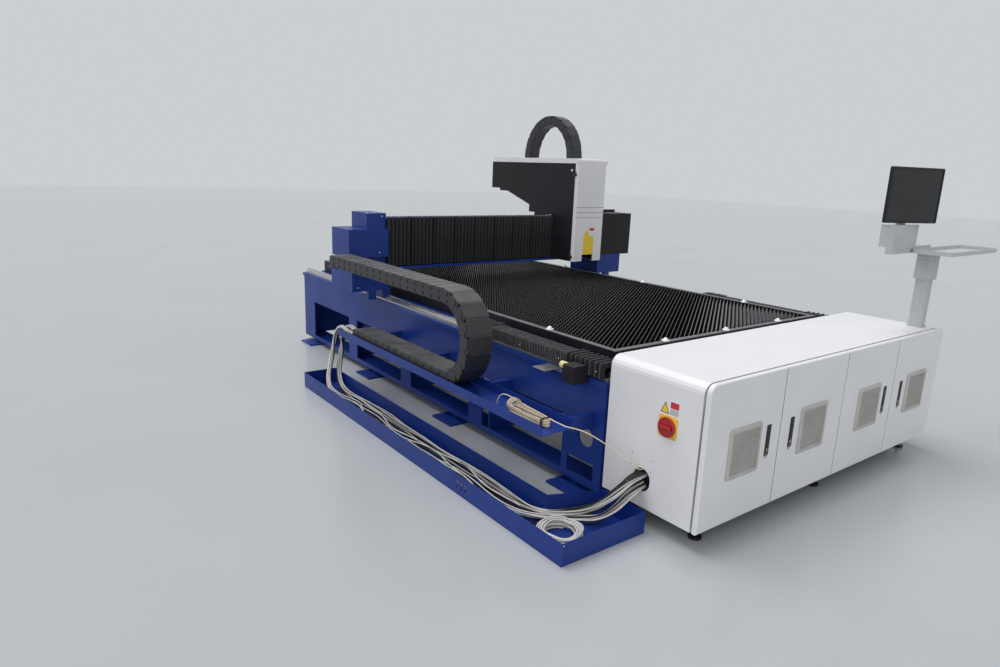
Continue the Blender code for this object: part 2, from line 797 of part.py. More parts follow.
def filter_x(index):
    """The middle of a door's filter."""
    side = -1 if index % 2 == 0 else 1
    return door_seam_x(index) + side * FILTER_EDGE_DISTANCE


def make_door(index, materials):
    """A door pan, open at the back, with hinge knuckles, a filter cut-out and a lock cup."""
    rings = []
    for y, inset in ((DOOR_BACK, 0), (DOOR_FRONT + DOOR_EDGE_ROUND, 0), (DOOR_FRONT, DOOR_EDGE_ROUND)):
        rings.append([(x, y, z) for x, z in door_outline(index, inset)])
    door = piece(f"door_{index + 1}", loft(rings), materials["white"])
    cavity = []
    for y, inset in ((DOOR_BACK + OVERRUN, DOOR_SKIN), (DOOR_FRONT + DOOR_EDGE_ROUND, DOOR_SKIN),
                     (DOOR_FRONT + DOOR_SKIN, DOOR_SKIN + DOOR_EDGE_ROUND)):
        cavity.append([(x, y, z) for x, z in door_outline(index, inset)])
    cut(door, loft(cavity))
    x, side = hinge_places()[index]
    for z in hinge_heights():
        half = HINGE_KNUCKLE_LENGTH / 2
        foot = block(x - HINGE_KNUCKLE_RADIUS, x + HINGE_KNUCKLE_RADIUS,
                     DOOR_FRONT + DOOR_SKIN / 2, HINGE_Y, z - half, z + half)
        knuckle = rod("Z", (x, HINGE_Y), z - half, z + half, HINGE_KNUCKLE_RADIUS, HINGE_SIDES)
        add(door, foot, knuckle)
    lock_low = CABINET_FLOOR_GAP + LOCK_CENTRE_HEIGHT - LOCK_HEIGHT / 2
    wall = DOOR_SKIN
    cup = block(lock_x(index) - LOCK_WIDTH / 2 - wall, lock_x(index) + LOCK_WIDTH / 2 + wall,
                DOOR_FRONT + DOOR_SKIN / 2, DOOR_FRONT + LOCK_DEPTH + wall,
                lock_low - wall, lock_low + LOCK_HEIGHT + wall)
    add(door, cup)
    cut(door, block(lock_x(index) - LOCK_WIDTH / 2, lock_x(index) + LOCK_WIDTH / 2,
                    DOOR_FRONT - OVERRUN, DOOR_FRONT + LOCK_DEPTH,
                    lock_low, lock_low + LOCK_HEIGHT))
    half = FILTER_CUTOUT / 2
    middle = CABINET_FLOOR_GAP + FILTER_CENTRE_HEIGHT
    cut(door, block(filter_x(index) - half, filter_x(index) + half,
                    DOOR_FRONT - OVERRUN, DOOR_FRONT + DOOR_SKIN * 2, middle - half, middle + half))
    return door


def make_filter(index, materials):
    """A square fan filter with a chamfered frame and sloping louvres."""
    x = filter_x(index)
    z = CABINET_FLOOR_GAP + FILTER_CENTRE_HEIGHT
    half = FILTER_SIZE / 2
    back = DOOR_FRONT - CLEAR
    front = back - FILTER_PROUD
    rings = []
    for y, size in ((back, half), (back - FILTER_PROUD / 4, half), (front, half - FILTER_CHAMFER)):
        rings.append([(px, y, pz) for px, pz in rounded(x - size, x + size, z - size, z + size,
                                                        (0, 0, 0, 0))])
    panel = piece(f"filter_{index + 1}", loft(rings), materials["light"])
    plug = FILTER_CUTOUT / 2 - FILTER_TO_DOOR_GAP
    add(panel, block(x - plug, x + plug, back - FILTER_PROUD / 4, DOOR_FRONT + FILTER_DEPTH,
                     z - plug, z + plug))
    inner = half - FILTER_BORDER
    pitch = 2 * inner / FILTER_LOUVRES
    outline = [(front - OVERRUN, z - inner), (front - OVERRUN, z + inner)]
    for i in range(FILTER_LOUVRES, 0, -1):
        top = z - inner + i * pitch
        outline.append((front + FILTER_LOUVRE_DEPTH, top))
        outline.append((front + FILTER_LOUVRE_LAND / 2, top - pitch + FILTER_LOUVRE_LAND))
        outline.append((front + FILTER_LOUVRE_LAND / 2, top - pitch))
    cut(panel, prism(outline, "X", x - inner, x + inner))
    back_recess = plug - FILTER_BORDER / 2
    cut(panel, block(x - back_recess, x + back_recess, DOOR_FRONT + FILTER_DEPTH / 2,
                     DOOR_FRONT + FILTER_DEPTH + OVERRUN, z - back_recess, z + back_recess))
    return panel


def lock_pivot_z():
    """The height of the handles' pivots."""
    return CABINET_FLOOR_GAP + LOCK_CENTRE_HEIGHT - LOCK_HEIGHT / 2 + LOCK_PIVOT_RISE


def make_lock(index, materials):
    """A flush swing handle in the lock cup, turning out on its pin near the lower end."""
    x = lock_x(index)
    low = CABINET_FLOOR_GAP + LOCK_CENTRE_HEIGHT - LOCK_HEIGHT / 2
    half = LOCK_WIDTH / 2 - LOCK_SIDE_GAP
    pivot_z = lock_pivot_z()
    front = DOOR_FRONT - LOCK_PROUD
    pivot_y = DOOR_FRONT + LOCK_PIVOT_DEPTH
    top = low + LOCK_HEIGHT - LOCK_SIDE_GAP
    finger_z = top - LOCK_FINGER_SHARE * LOCK_HEIGHT
    heel = rounded(front, pivot_y + LOCK_PIVOT_DEPTH / 2, pivot_z - LOCK_PIVOT_DEPTH,
                   pivot_z + LOCK_PIVOT_DEPTH, (LOCK_PROUD, LOCK_PROUD, LOCK_PROUD, LOCK_PROUD), 2)
    handle = piece(f"lock_{index + 1}", prism(heel, "X", x - half, x + half), materials["dark_plastic"])
    grip = [(front, pivot_z), (pivot_y, pivot_z), (pivot_y, finger_z),
            (DOOR_FRONT + LOCK_PROUD, top - LOCK_PROUD), (DOOR_FRONT, top), (front, top - LOCK_PROUD)]
    add(handle, prism(grip, "X", x - half, x + half))
    reach = LOCK_WIDTH / 2 - CLEAR
    add(handle, rod("X", (pivot_y, pivot_z), x - reach, x + reach, LOCK_PIN_RADIUS, HINGE_SIDES))
    return handle


def make_switch(materials):
    """Yellow plate and red rotary handle on the cabinet's left end."""
    face = -HALF_LENGTH - CLEAR
    half_w = SWITCH_PLATE_WIDTH / 2
    half_h = SWITCH_PLATE_HEIGHT / 2
    plate = piece("switch_plate",
                  prism(rounded(SWITCH_Y - half_w, SWITCH_Y + half_w, SWITCH_Z - half_h,
                                SWITCH_Z + half_h, (SWITCH_PLATE_ROUND,) * 4, 3),
                        "X", face, face - SWITCH_PLATE_THICKNESS), materials["yellow"])
    front = face - SWITCH_PLATE_THICKNESS - CLEAR
    centre = (SWITCH_Y, SWITCH_Z)
    knob = piece("switch_knob",
                 rod("X", centre, front, front - SWITCH_RING_DEPTH, SWITCH_RING_RADIUS, SWITCH_SIDES),
                 materials["red"])
    inner = SWITCH_KNOB_RADIUS
    add(knob, rod("X", centre, front - SWITCH_RING_DEPTH / 2, front - SWITCH_KNOB_DEPTH, inner,
                  SWITCH_SIDES, inner * (1 - SWITCH_KNOB_DEPTH / SWITCH_RING_RADIUS / 2)))
    grip = SWITCH_GRIP_WIDTH / 2
    add(knob, block(front - SWITCH_KNOB_DEPTH - SWITCH_GRIP_DEPTH, front - SWITCH_RING_DEPTH,
                    SWITCH_Y - inner, SWITCH_Y + inner, SWITCH_Z - grip, SWITCH_Z + grip))
    return plate, round_off(knob)


def hollow_from_behind(obj, x0, x1, y0, y1, z0, z1):
    """Leave a sheet casing, open at its back where its cables go in."""
    sheet = CABINET_SHEET
    return cut(obj, block(x0 + sheet, x1 - sheet, y0 + sheet, y1 + OVERRUN, z0 + sheet, z1 - sheet))


def make_cabinet_fittings(materials):
    """Mounting panels, laser source, servo drives and control chassis behind the doors."""
    rear = SHELL_REAR - CABINET_SHEET - PANEL_BACK_GAP
    low = CABINET_FLOOR_GAP + PANEL_MARGIN
    high = CABINET_TOP - PANEL_MARGIN
    left = -HALF_LENGTH + PANEL_MARGIN
    panel = piece("mounting_panel",
                  block(left, -PANEL_MARGIN, rear - PANEL_THICKNESS, rear, low, high),
                  materials["zinc"])
    face = rear - PANEL_THICKNESS
    stand_off = block(left, left + DUCT_WIDTH, face, SHELL_REAR - CABINET_SHEET - CLEAR, low, high)
    far_stand_off = block(-PANEL_MARGIN - DUCT_WIDTH, -PANEL_MARGIN, face,
                          SHELL_REAR - CABINET_SHEET - CLEAR, low, high)
    add(panel, stand_off, far_stand_off)
    for z in (low, (low + high) / 2 - DUCT_WIDTH / 2, high - DUCT_WIDTH):
        add(panel, block(left + DUCT_WIDTH, -PANEL_MARGIN - DUCT_WIDTH, face - DUCT_DEPTH,
                         face + PANEL_THICKNESS / 2, z, z + DUCT_WIDTH))
    drive_low = (low + high) / 2 + DUCT_WIDTH / 2 + CLEAR
    drive_high = high - DUCT_WIDTH - DRIVE_TOP_GAP
    back = face - CLEAR
    first = left + DUCT_WIDTH * 2
    drives = piece("servo_drives",
                   block(first, first + (DRIVE_COUNT - 1) * DRIVE_PITCH + DRIVE_WIDTH,
                         back - PANEL_BACK_GAP, back, drive_low, drive_high),
                   materials["dark_plastic"])
    for i in range(DRIVE_COUNT):
        x = first + i * DRIVE_PITCH
        add(drives, block(x, x + DRIVE_WIDTH, back - DRIVE_DEPTH, back - PANEL_BACK_GAP / 2,
                          drive_low, drive_high))
    floor = CABINET_FLOOR_GAP + CABINET_SHEET + CLEAR
    chassis_left = HALF_LENGTH - CHASSIS_INSET - CHASSIS_WIDTH
    source_left = CABINET_POST
    source_right = chassis_left - SOURCE_HANDLE
    source = piece("laser_source",
                   block(source_left, source_right, rear - SOURCE_DEPTH, rear,
                         floor, floor + SOURCE_HEIGHT), materials["stand"])
    for x in (source_left + SOURCE_HANDLE, source_right - SOURCE_HANDLE * 2):
        add(source, block(x, x + SOURCE_HANDLE, rear - SOURCE_DEPTH - SOURCE_HANDLE,
                          rear - SOURCE_DEPTH + WELD_OVERLAP, floor + SOURCE_HANDLE * 2,
                          floor + SOURCE_HEIGHT - SOURCE_HANDLE * 2))
    hollow_from_behind(source, source_left, source_right, rear - SOURCE_DEPTH, rear,
                       floor, floor + SOURCE_HEIGHT)
    chassis = piece("control_chassis",
                    block(chassis_left, chassis_left + CHASSIS_WIDTH, rear - CHASSIS_DEPTH, rear,
                          floor, floor + CHASSIS_HEIGHT), materials["black"])
    hollow_from_behind(chassis, chassis_left, chassis_left + CHASSIS_WIDTH, rear - CHASSIS_DEPTH,
                       rear, floor, floor + CHASSIS_HEIGHT)
    return panel, drives, source, chassis


def bed_channel(side):
    """One long side of the bed: a C-section open to the inside, with a lip along its top."""
    out = side * HALF_LENGTH
    inn = side * (HALF_LENGTH - BED_CHANNEL_WIDTH)
    wall = side * (HALF_LENGTH - BED_PLATE)
    lip = side * (HALF_LENGTH + BED_LIP_PROUD)
    outline = [(lip, BED_TOP - BED_LIP_HEIGHT), (lip, BED_TOP), (inn, BED_TOP),
               (inn, BED_TOP - BED_PLATE), (wall, BED_TOP - BED_PLATE), (wall, BED_BOTTOM + BED_PLATE),
               (inn, BED_BOTTOM + BED_PLATE), (inn, BED_BOTTOM), (out, BED_BOTTOM),
               (out, BED_TOP - BED_LIP_HEIGHT)]
    return prism(outline, "Y", BED_FRONT, BED_REAR)


def bed_foot_places():
    """The Y of the bed's levelling feet."""
    step = (BED_FOOT_REAR - BED_FOOT_FRONT) / (BED_FOOT_COUNT - 1)
    return [BED_FOOT_FRONT + i * step for i in range(BED_FOOT_COUNT)]


def make_bed_frame(materials):
    """Welded bed: two side channels, cross plates, table ledges and feet."""
    frame = piece("bed_frame", bed_channel(-1), materials["blue"])
    add(frame, bed_channel(1))
    reach = HALF_LENGTH - BED_PLATE + WELD_OVERLAP
    span = (BED_LENGTH - BED_PLATE) / (BED_CROSS_COUNT - 1)
    for i in range(BED_CROSS_COUNT):
        y = BED_FRONT + i * span
        add(frame, block(-reach, reach, y, y + BED_PLATE, BED_BOTTOM + BED_PLATE / 2, BED_CROSS_TOP))
    ledge_out = HALF_LENGTH - BED_CHANNEL_WIDTH + BED_PLATE
    for side in (-1, 1):
        low, high = sorted((side * ledge_out, side * (ledge_out - BED_LEDGE_WIDTH)))
        add(frame, block(low, high, BED_FRONT + BED_PLATE / 2, BED_REAR - BED_PLATE / 2,
                         BED_TOP - BED_LIP_HEIGHT, BED_LEDGE_TOP))
    for side in (-1, 1):
        stem_x = side * (HALF_LENGTH - BED_PAD_WIDTH / 2 + BED_PAD_OUT)
        for y in bed_foot_places():
            add(frame, rod("Z", (stem_x, y), BED_PAD_THICKNESS / 2, BED_BOTTOM + WELD_OVERLAP,
                           BED_STEM_RADIUS, FOOT_SIDES),
                block(stem_x - BED_PAD_WIDTH / 2, stem_x + BED_PAD_WIDTH / 2,
                      y - BED_PAD_LENGTH / 2, y + BED_PAD_LENGTH / 2, 0, BED_PAD_THICKNESS))
    windows = []
    for side in (-1, 1):
        low, high = sorted((side * (HALF_LENGTH + OVERRUN), side * (HALF_LENGTH - OVERRUN)))
        windows.append(rod("X", (BED_HOLE_Y, BED_HOLE_Z), low, high, BED_HOLE_RADIUS, SWITCH_SIDES))
        windows.append(block(low, high, BED_WINDOW_FRONT, BED_WINDOW_FRONT + BED_WINDOW_LENGTH,
                             BED_WINDOW_BOTTOM, BED_WINDOW_BOTTOM + BED_WINDOW_HEIGHT))
        for i in range(BED_BAY_COUNT):
            y = BED_BAY_FRONT + i * BED_BAY_PITCH
            windows.append(block(low, high, y, y + BED_BAY_LENGTH,
                                 BED_BAY_BOTTOM, BED_BAY_BOTTOM + BED_BAY_HEIGHT))
    cut(frame, merged(windows))
    return frame


def rail_x():
    """The distance of the Y rails from the machine's middle plane."""
    return HALF_LENGTH + BELLOWS_OVERHANG - BELLOWS_OUTER_WIDTH / 2


def make_rail_way(side, materials):
    """Machined way strip with its linear rail, one node for each side."""
    top = BED_TOP + CLEAR + WAY_THICKNESS
    centre = rail_x()
    half = WAY_WIDTH / 2
    head = RAIL_WIDTH / 2
    neck = RAIL_NECK / 2
    rise = RAIL_HEIGHT / 2
    outline = [(centre - half, BED_TOP + CLEAR), (centre + half - BELLOWS_OVERHANG, BED_TOP + CLEAR),
               (centre + half - BELLOWS_OVERHANG, top), (centre + head, top),
               (centre + neck, top + rise), (centre + head, top + RAIL_HEIGHT - rise / 4),
               (centre + head - rise / 4, top + RAIL_HEIGHT), (centre - head + rise / 4, top + RAIL_HEIGHT),
               (centre - head, top + RAIL_HEIGHT - rise / 4), (centre - neck, top + rise),
               (centre - head, top), (centre - half, top)]
    bm = prism(outline, "Y", BED_FRONT + WAY_EDGE, BED_REAR - WAY_EDGE)
    name = "rail_way_right"
    if side < 0:
        bm = mirrored(bm)
        name = "rail_way_left"
    return piece(name, bm, materials["steel"])


def slat_outline():
    """One slat seen along Y: a plain lower edge and a row of pointed teeth."""
    outline = [(-SLAT_END, SLAT_BOTTOM), (SLAT_END, SLAT_BOTTOM)]
    pitch = 2 * SLAT_END / SLAT_TEETH
    for i in range(SLAT_TEETH, 0, -1):
        x = -SLAT_END + i * pitch
        outline.append((x, SLAT_TOP - SLAT_TOOTH_DEPTH))
        outline.append((x - pitch / 2, SLAT_TOP))
    outline.append((-SLAT_END, SLAT_TOP - SLAT_TOOTH_DEPTH))
    return outline


def make_slat_table(materials):
    """Toothed slats standing in comb bars that run the length of the bed."""
    slats = []
    for i in range(SLAT_COUNT):
        y = SLAT_FIRST_Y + i * SLAT_PITCH
        slats.append(prism(slat_outline(), "Y", y, y + SLAT_THICKNESS))
    table = piece("slat_table", merged(slats), materials["mill"])
    rear = SLAT_FIRST_Y + (SLAT_COUNT - 1) * SLAT_PITCH
    bars = []
    for share in COMB_SHARES:
        x = share * SLAT_END
        bars.append(block(x - COMB_THICKNESS / 2, x + COMB_THICKNESS / 2,
                          SLAT_FIRST_Y - OVERRUN, rear + OVERRUN,
                          SLAT_BOTTOM - WELD_OVERLAP, COMB_TOP))
    return add(table, merged(bars))


def ball_places():
    """Where the ball transfer units stand on the border."""
    middle = BORDER_INNER + BORDER_WIDTH / 2
    places = []
    for side in (-1, 1):
        for i in range(BALL_SIDE_COUNT):
            places.append((side * middle, BALL_SIDE_FIRST + i * BALL_SIDE_PITCH))
    for i in range(BALL_FRONT_COUNT):
        places.append(((i - (BALL_FRONT_COUNT - 1) / 2) * BALL_FRONT_PITCH,
                       BORDER_FRONT + BORDER_WIDTH / 2))
    return places


def ball_unit(x, y):
    """One ball transfer unit: a flange ring and the ball standing out of it."""
    rings = []
    profile = [(BALL_FLANGE_RADIUS, -WELD_OVERLAP), (BALL_FLANGE_RADIUS, BALL_FLANGE_HEIGHT),
               (BALL_RADIUS, BALL_FLANGE_HEIGHT),
               (BALL_RADIUS * math.cos(math.radians(40)),
                BALL_FLANGE_HEIGHT + BALL_RADIUS * math.sin(math.radians(40))),
               (BALL_RADIUS * math.cos(math.radians(75)),
                BALL_FLANGE_HEIGHT + BALL_RADIUS * math.sin(math.radians(75)))]
    for radius, rise in profile:
        rings.append([(x + radius * math.cos(math.tau * k / BALL_SIDES),
                       y + radius * math.sin(math.tau * k / BALL_SIDES),
                       BORDER_TOP + rise) for k in range(BALL_SIDES)])
    return loft(rings)


def make_table_border(materials):
    """Steel angle frame round the slats, with ball transfer units on it."""
    outer = BORDER_INNER + BORDER_WIDTH
    low = BED_LEDGE_TOP + CLEAR
    plate = BORDER_TOP - BORDER_THICKNESS
    border = piece("table_border", block(-outer, outer, BORDER_FRONT, BORDER_REAR, low, BORDER_TOP),
                   materials["steel"])
    front = BORDER_FRONT + BORDER_WIDTH
    rear = BORDER_REAR - BORDER_WIDTH
    cut(border, block(-BORDER_INNER, BORDER_INNER, front, rear, low - OVERRUN, BORDER_TOP + OVERRUN))
    skirt = outer - BORDER_THICKNESS
    cut(border, block(-skirt, skirt, BORDER_FRONT + BORDER_THICKNESS, BORDER_REAR - BORDER_THICKNESS,
                      low - OVERRUN, plate))
    add(border, *[ball_unit(x, y) for x, y in ball_places()])
    return border


def bellows_ring(y, depth):
    """The bellows' section at one fold: an upturned U round the rail."""
    centre = rail_x()
    half = BELLOWS_OUTER_WIDTH / 2 - depth
    inner = BELLOWS_OUTER_WIDTH / 2 - BELLOWS_WALL
    low = BED_TOP + WAY_THICKNESS + 2 * CLEAR
    top = BELLOWS_TOP - depth
    roof = BELLOWS_TOP - BELLOWS_ROOF
    points = [(-half, low), (-half, top), (half, top), (half, low), (inner, low), (inner, roof),
              (-inner, roof), (-inner, low)]
    return [(centre + u, y, v) for u, v in points]


def make_bellows(side, materials):
    """Pleated way cover, drawn over the front of the rail."""
    step = (BELLOWS_REAR - BELLOWS_FRONT) / (2 * BELLOWS_PLEATS)
    rings = []
    for i in range(2 * BELLOWS_PLEATS + 1):
        depth = BELLOWS_PLEAT_DEPTH if i % 2 else 0
        rings.append(bellows_ring(BELLOWS_FRONT + i * step, depth))
    bm = loft(rings)
    name = "bellows_right"
    if side < 0:
        bm = mirrored(bm)
        name = "bellows_left"
    return piece(name, bm, materials["rubber"])


def stop_x():
    """The inner side of the end stops."""
    return HALF_LENGTH + BELLOWS_OVERHANG + BED_LIP_PROUD


def make_stop(side, materials):
    """End stop block with its rubber buffer."""
    inner = stop_x()
    name = "right" if side > 0 else "left"
    body = prism(rounded(inner, inner + STOP_WIDTH, STOP_BOTTOM, STOP_BOTTOM + STOP_HEIGHT,
                         (0, BED_PLATE / 2, BED_PLATE / 2, 0), 2), "Y", STOP_Y, STOP_Y + STOP_LENGTH)
    seat = block(HALF_LENGTH + BED_LIP_PROUD + CLEAR, inner + WELD_OVERLAP, STOP_Y,
                 STOP_Y + STOP_LENGTH, STOP_BOTTOM, BED_TOP - CLEAR)
    centre = (inner + STOP_WIDTH / 2, STOP_BOTTOM + STOP_HEIGHT - BUFFER_INSET)
    start = STOP_Y + STOP_LENGTH + CLEAR
    bump = rod("Y", centre, start, start + BUFFER_LENGTH, BUFFER_RADIUS, BUFFER_SIDES)
    if side < 0:
        body, seat, bump = mirrored(body), mirrored(seat), mirrored(bump)
    stop = piece(f"stop_{name}", body, materials["black"])
    add(stop, seat)
    return stop, round_off(piece(f"buffer_{name}", bump, materials["buffer"]))


def make_limit_plate(materials):
    """Zinc-plated limit sensor plate standing out of the bed's left side."""
    wall = -HALF_LENGTH - BED_LIP_PROUD - CLEAR
    top = BED_TOP - CLEAR
    plate = piece("limit_plate",
                  block(wall - LIMIT_WIDTH, wall, LIMIT_Y, LIMIT_Y + LIMIT_LENGTH,
                        top - LIMIT_THICKNESS, top), materials["zinc"])
    add(plate, block(wall - LIMIT_THICKNESS, wall, LIMIT_Y, LIMIT_Y + LIMIT_LENGTH,
                     top - LIMIT_LUG, top - LIMIT_THICKNESS / 2))
    return plate


def make_chain_shelf(materials):
    """Folded channel that carries the drag chain, on arms out of the bed's side."""
    inner = -HALF_LENGTH - SHELF_INNER
    outer = inner - SHELF_WIDTH
    low = SHELF_FLOOR - SHELF_SHEET
    top = SHELF_FLOOR + SHELF_LIP
    rear = SHELF_FRONT + SHELF_LENGTH
    outline = [(outer, top), (outer, low), (inner, low), (inner, top), (inner - SHELF_SHEET, top),
               (inner - SHELF_SHEET, SHELF_FLOOR), (outer + SHELF_SHEET, SHELF_FLOOR),
               (outer + SHELF_SHEET, top)]
    shelf = piece("chain_shelf", prism(outline, "Y", SHELF_FRONT, rear), materials["blue"])
    span = (SHELF_LENGTH - 2 * SHELF_BRACKET_INSET) / (SHELF_BRACKETS - 1)
    wall = -HALF_LENGTH - CLEAR
    for i in range(SHELF_BRACKETS):
        y = SHELF_FRONT + SHELF_BRACKET_INSET + i * span - SHELF_BRACKET_WIDTH / 2
        arm = [(outer + SHELF_SHEET, low + SHELF_SHEET / 2), (outer + SHELF_SHEET, low - SHELF_SHEET),
               (wall, low - SHELF_BRACKET_DEPTH), (wall, low + SHELF_SHEET / 2)]
        add(shelf, prism(arm, "Y", y, y + SHELF_BRACKET_WIDTH))
    return shelf


def make_cable_trough(materials):
    """Open floor trough beside the bed, with a wider head under the cabinet's cable hole."""
    outer = -HALF_LENGTH - TROUGH_OUTER
    inner = outer + TROUGH_WIDTH
    head = -HALF_LENGTH - TROUGH_HEAD_INNER
    near = TROUGH_FRONT + TROUGH_HEAD_NEAR
    far = TROUGH_FRONT + TROUGH_HEAD_FAR
    rear = TROUGH_FRONT + TROUGH_LENGTH
    wall = TROUGH_SHEET
    outline = [(outer, TROUGH_FRONT), (head, TROUGH_FRONT), (head, near), (inner, far),
               (inner, rear), (outer, rear)]
    cavity = [(outer + wall, TROUGH_FRONT + wall), (head - wall, TROUGH_FRONT + wall),
              (head - wall, near - wall), (inner - wall, far - wall),
              (inner - wall, rear - wall), (outer + wall, rear - wall)]
    trough = piece("cable_trough", prism(outline, "Z", 0, TROUGH_HEIGHT), materials["blue"])
    cut(trough, prism(cavity, "Z", wall, TROUGH_HEIGHT + OVERRUN))
    slots = []
    low = (TROUGH_HEIGHT - TROUGH_SLOT_HEIGHT) / 2
    for share in TROUGH_SLOT_Y_SHARES:
        y = TROUGH_FRONT + share * TROUGH_LENGTH
        slots.append(block(outer - OVERRUN, outer + OVERRUN, y, y + TROUGH_SLOT,
                           low, low + TROUGH_SLOT_HEIGHT))
    return cut(trough, merged(slots))


def make_beam(materials):
    """Hollow beam with rear access holes, front ledge, guide rails and a raised left end."""
    front = GANTRY_FRONT + BEAM_SETBACK
    rear = front + BEAM_DEPTH
    wall = BEAM_WALL
    frame = piece("gantry_frame", block(-BEAM_END, BEAM_END, front, rear,
                                        BEAM_BOTTOM, BEAM_TOP), materials["blue"])
    cut(frame, block(-BEAM_END + wall, BEAM_END - wall, front + wall, rear - wall,
                     BEAM_BOTTOM + BEAM_LEDGE_HEIGHT + wall, BEAM_TOP - wall))
    middle = (BEAM_BOTTOM + BEAM_TOP) / 2
    pitch = 2 * LEG_INNER / BEAM_ACCESS_HOLES
    holes = []
    for i in range(BEAM_ACCESS_HOLES):
        x = -LEG_INNER + (i + 0.5) * pitch
        holes.append(block(x - BEAM_ACCESS_LENGTH / 2, x + BEAM_ACCESS_LENGTH / 2, rear - OVERRUN,
                           rear + OVERRUN, middle - BEAM_ACCESS_HEIGHT / 2,
                           middle + BEAM_ACCESS_HEIGHT / 2))
    cut(frame, merged(holes))
    add(frame, block(-LEG_INNER - WELD_OVERLAP, LEG_INNER + WELD_OVERLAP, GANTRY_FRONT + CLEAR,
                     front + WELD_OVERLAP, BEAM_BOTTOM, BEAM_BOTTOM + BEAM_LEDGE_HEIGHT))
    for z in (BEAM_BOTTOM + BEAM_RAIL_INSET, BEAM_TOP - BEAM_RAIL_INSET):
        add(frame, block(-LEG_INNER, LEG_INNER, front - BEAM_RAIL_DEPTH, front + WELD_OVERLAP,
                         z - BEAM_RAIL_WIDTH / 2, z + BEAM_RAIL_WIDTH / 2))
    block_front = GANTRY_FRONT + COVER_LIP + CLEAR
    add(frame, prism([(block_front, BEAM_BOTTOM), (front + WELD_OVERLAP, BEAM_BOTTOM),
                      (front + WELD_OVERLAP, BEAM_TOP - WELD_OVERLAP), (rear, BEAM_TOP - WELD_OVERLAP),
                      (rear, END_BLOCK_TOP), (block_front, END_BLOCK_TOP)],
                     "X", -LEG_INNER - END_BLOCK_WIDTH, -LEG_INNER))
    return frame


def rail_block(side, y):
    """A rail block, saddled over the Y rail."""
    x = side * rail_x()
    rail_top = BED_TOP + CLEAR + WAY_THICKNESS + RAIL_HEIGHT
    half = BLOCK_WIDTH / 2
    groove = RAIL_WIDTH / 2 + BLOCK_SIDE_GAP
    top = LEG_BOTTOM + WELD_OVERLAP
    low = rail_top - BLOCK_SADDLE
    outline = [(x - half, low), (x - groove, low), (x - groove, rail_top + CLEAR),
               (x + groove, rail_top + CLEAR), (x + groove, low), (x + half, low),
               (x + half, top), (x - half, top)]
    return prism(outline, "Y", y - BLOCK_LENGTH / 2, y + BLOCK_LENGTH / 2)


def make_gantry_frame(materials):
    """The beam on its two legs, with rail blocks, stop lugs and the drag chain's end plate."""
    frame = make_beam(materials)
    for side in (-1, 1):
        low, high = sorted((side * LEG_INNER, side * LEG_OUTER))
        add(frame, block(low, high, GANTRY_FRONT, GANTRY_FRONT + LEG_DEPTH,
                         LEG_BOTTOM, BEAM_BOTTOM + BEAM_LEDGE_HEIGHT))
        for y in (GANTRY_FRONT + BLOCK_LENGTH / 2 + BEAM_WALL,
                  GANTRY_FRONT + LEG_DEPTH - BLOCK_LENGTH / 2 - BEAM_WALL):
            add(frame, rail_block(side, y))
        low, high = sorted((side * (HALF_LENGTH + LEG_LUG_NEAR), side * (HALF_LENGTH + LEG_LUG_FAR)))
        add(frame, block(low, high, GANTRY_FRONT, GANTRY_FRONT + LEG_LUG_LENGTH,
                         LEG_LUG_BOTTOM, LEG_BOTTOM + WELD_OVERLAP))
    plate_top = chain_levels()[1] - CHAIN_HEIGHT / 2 - CLEAR
    plate_low = plate_top - CHAIN_PLATE_THICKNESS
    riser_front = GANTRY_FRONT + WELD_OVERLAP
    plate_rear = riser_front + CHAIN_RISER
    middle = -HALF_LENGTH - SHELF_INNER - SHELF_WIDTH / 2
    add(frame, block(-LEG_OUTER, -CHAIN_PLATE_INNER, riser_front, plate_rear,
                     BEAM_BOTTOM + BEAM_LEDGE_HEIGHT - WELD_OVERLAP, plate_low + WELD_OVERLAP))
    add(frame, block(middle - CHAIN_WIDTH / 2, -CHAIN_PLATE_INNER, plate_rear - CHAIN_PLATE_LENGTH,
                     plate_rear, plate_low, plate_top))
    return frame


def end_cover(name, outer, rear, low, high, sheet, material):
    """Sheet cover round an end of the gantry's right side, L-shaped in plan, open underneath."""
    corner = BEAM_END + CLEAR
    inner = LEG_INNER + CLEAR / 2
    front = GANTRY_FRONT
    lip = front + COVER_LIP
    box = [(inner, front), (outer, front), (outer, rear), (corner, rear), (corner, lip), (inner, lip)]
    cavity = [(inner + sheet, front + sheet), (outer - sheet, front + sheet),
              (outer - sheet, rear - sheet), (corner + sheet, rear - sheet),
              (corner + sheet, lip - sheet), (inner + sheet, lip - sheet)]
    shell = prism(box, "Z", low, high)
    hollow = prism(cavity, "Z", low - OVERRUN, high - sheet)
    if name.endswith("left"):
        shell, hollow = mirrored(shell), mirrored(hollow)
    return cut(piece(name, shell, material), hollow)


def make_end_covers(materials):
    """Blue cover over the left drive, black box with a taller end plate over the right one."""
    end_cover("drive_cover_left", COVER_LEFT_OUTER, COVER_LEFT_REAR, LEFT_BOX_BOTTOM,
              LEFT_BOX_TOP, LEFT_BOX_SHEET, materials["blue"])
    low = BEAM_BOTTOM + BEAM_LEDGE_HEIGHT + CLEAR
    box = end_cover("end_box_right", COVER_RIGHT_OUTER, COVER_RIGHT_REAR, low, RIGHT_BOX_TOP,
                    RIGHT_BOX_SHEET, materials["black"])
    add(box, block(BEAM_END + CLEAR, COVER_RIGHT_OUTER + RIGHT_PLATE_OUT,
                   COVER_RIGHT_REAR - WELD_OVERLAP, COVER_RIGHT_REAR - WELD_OVERLAP + RIGHT_BOX_PLATE,
                   low, RIGHT_BOX_TOP + RIGHT_BOX_PLATE_RISE))
    return box


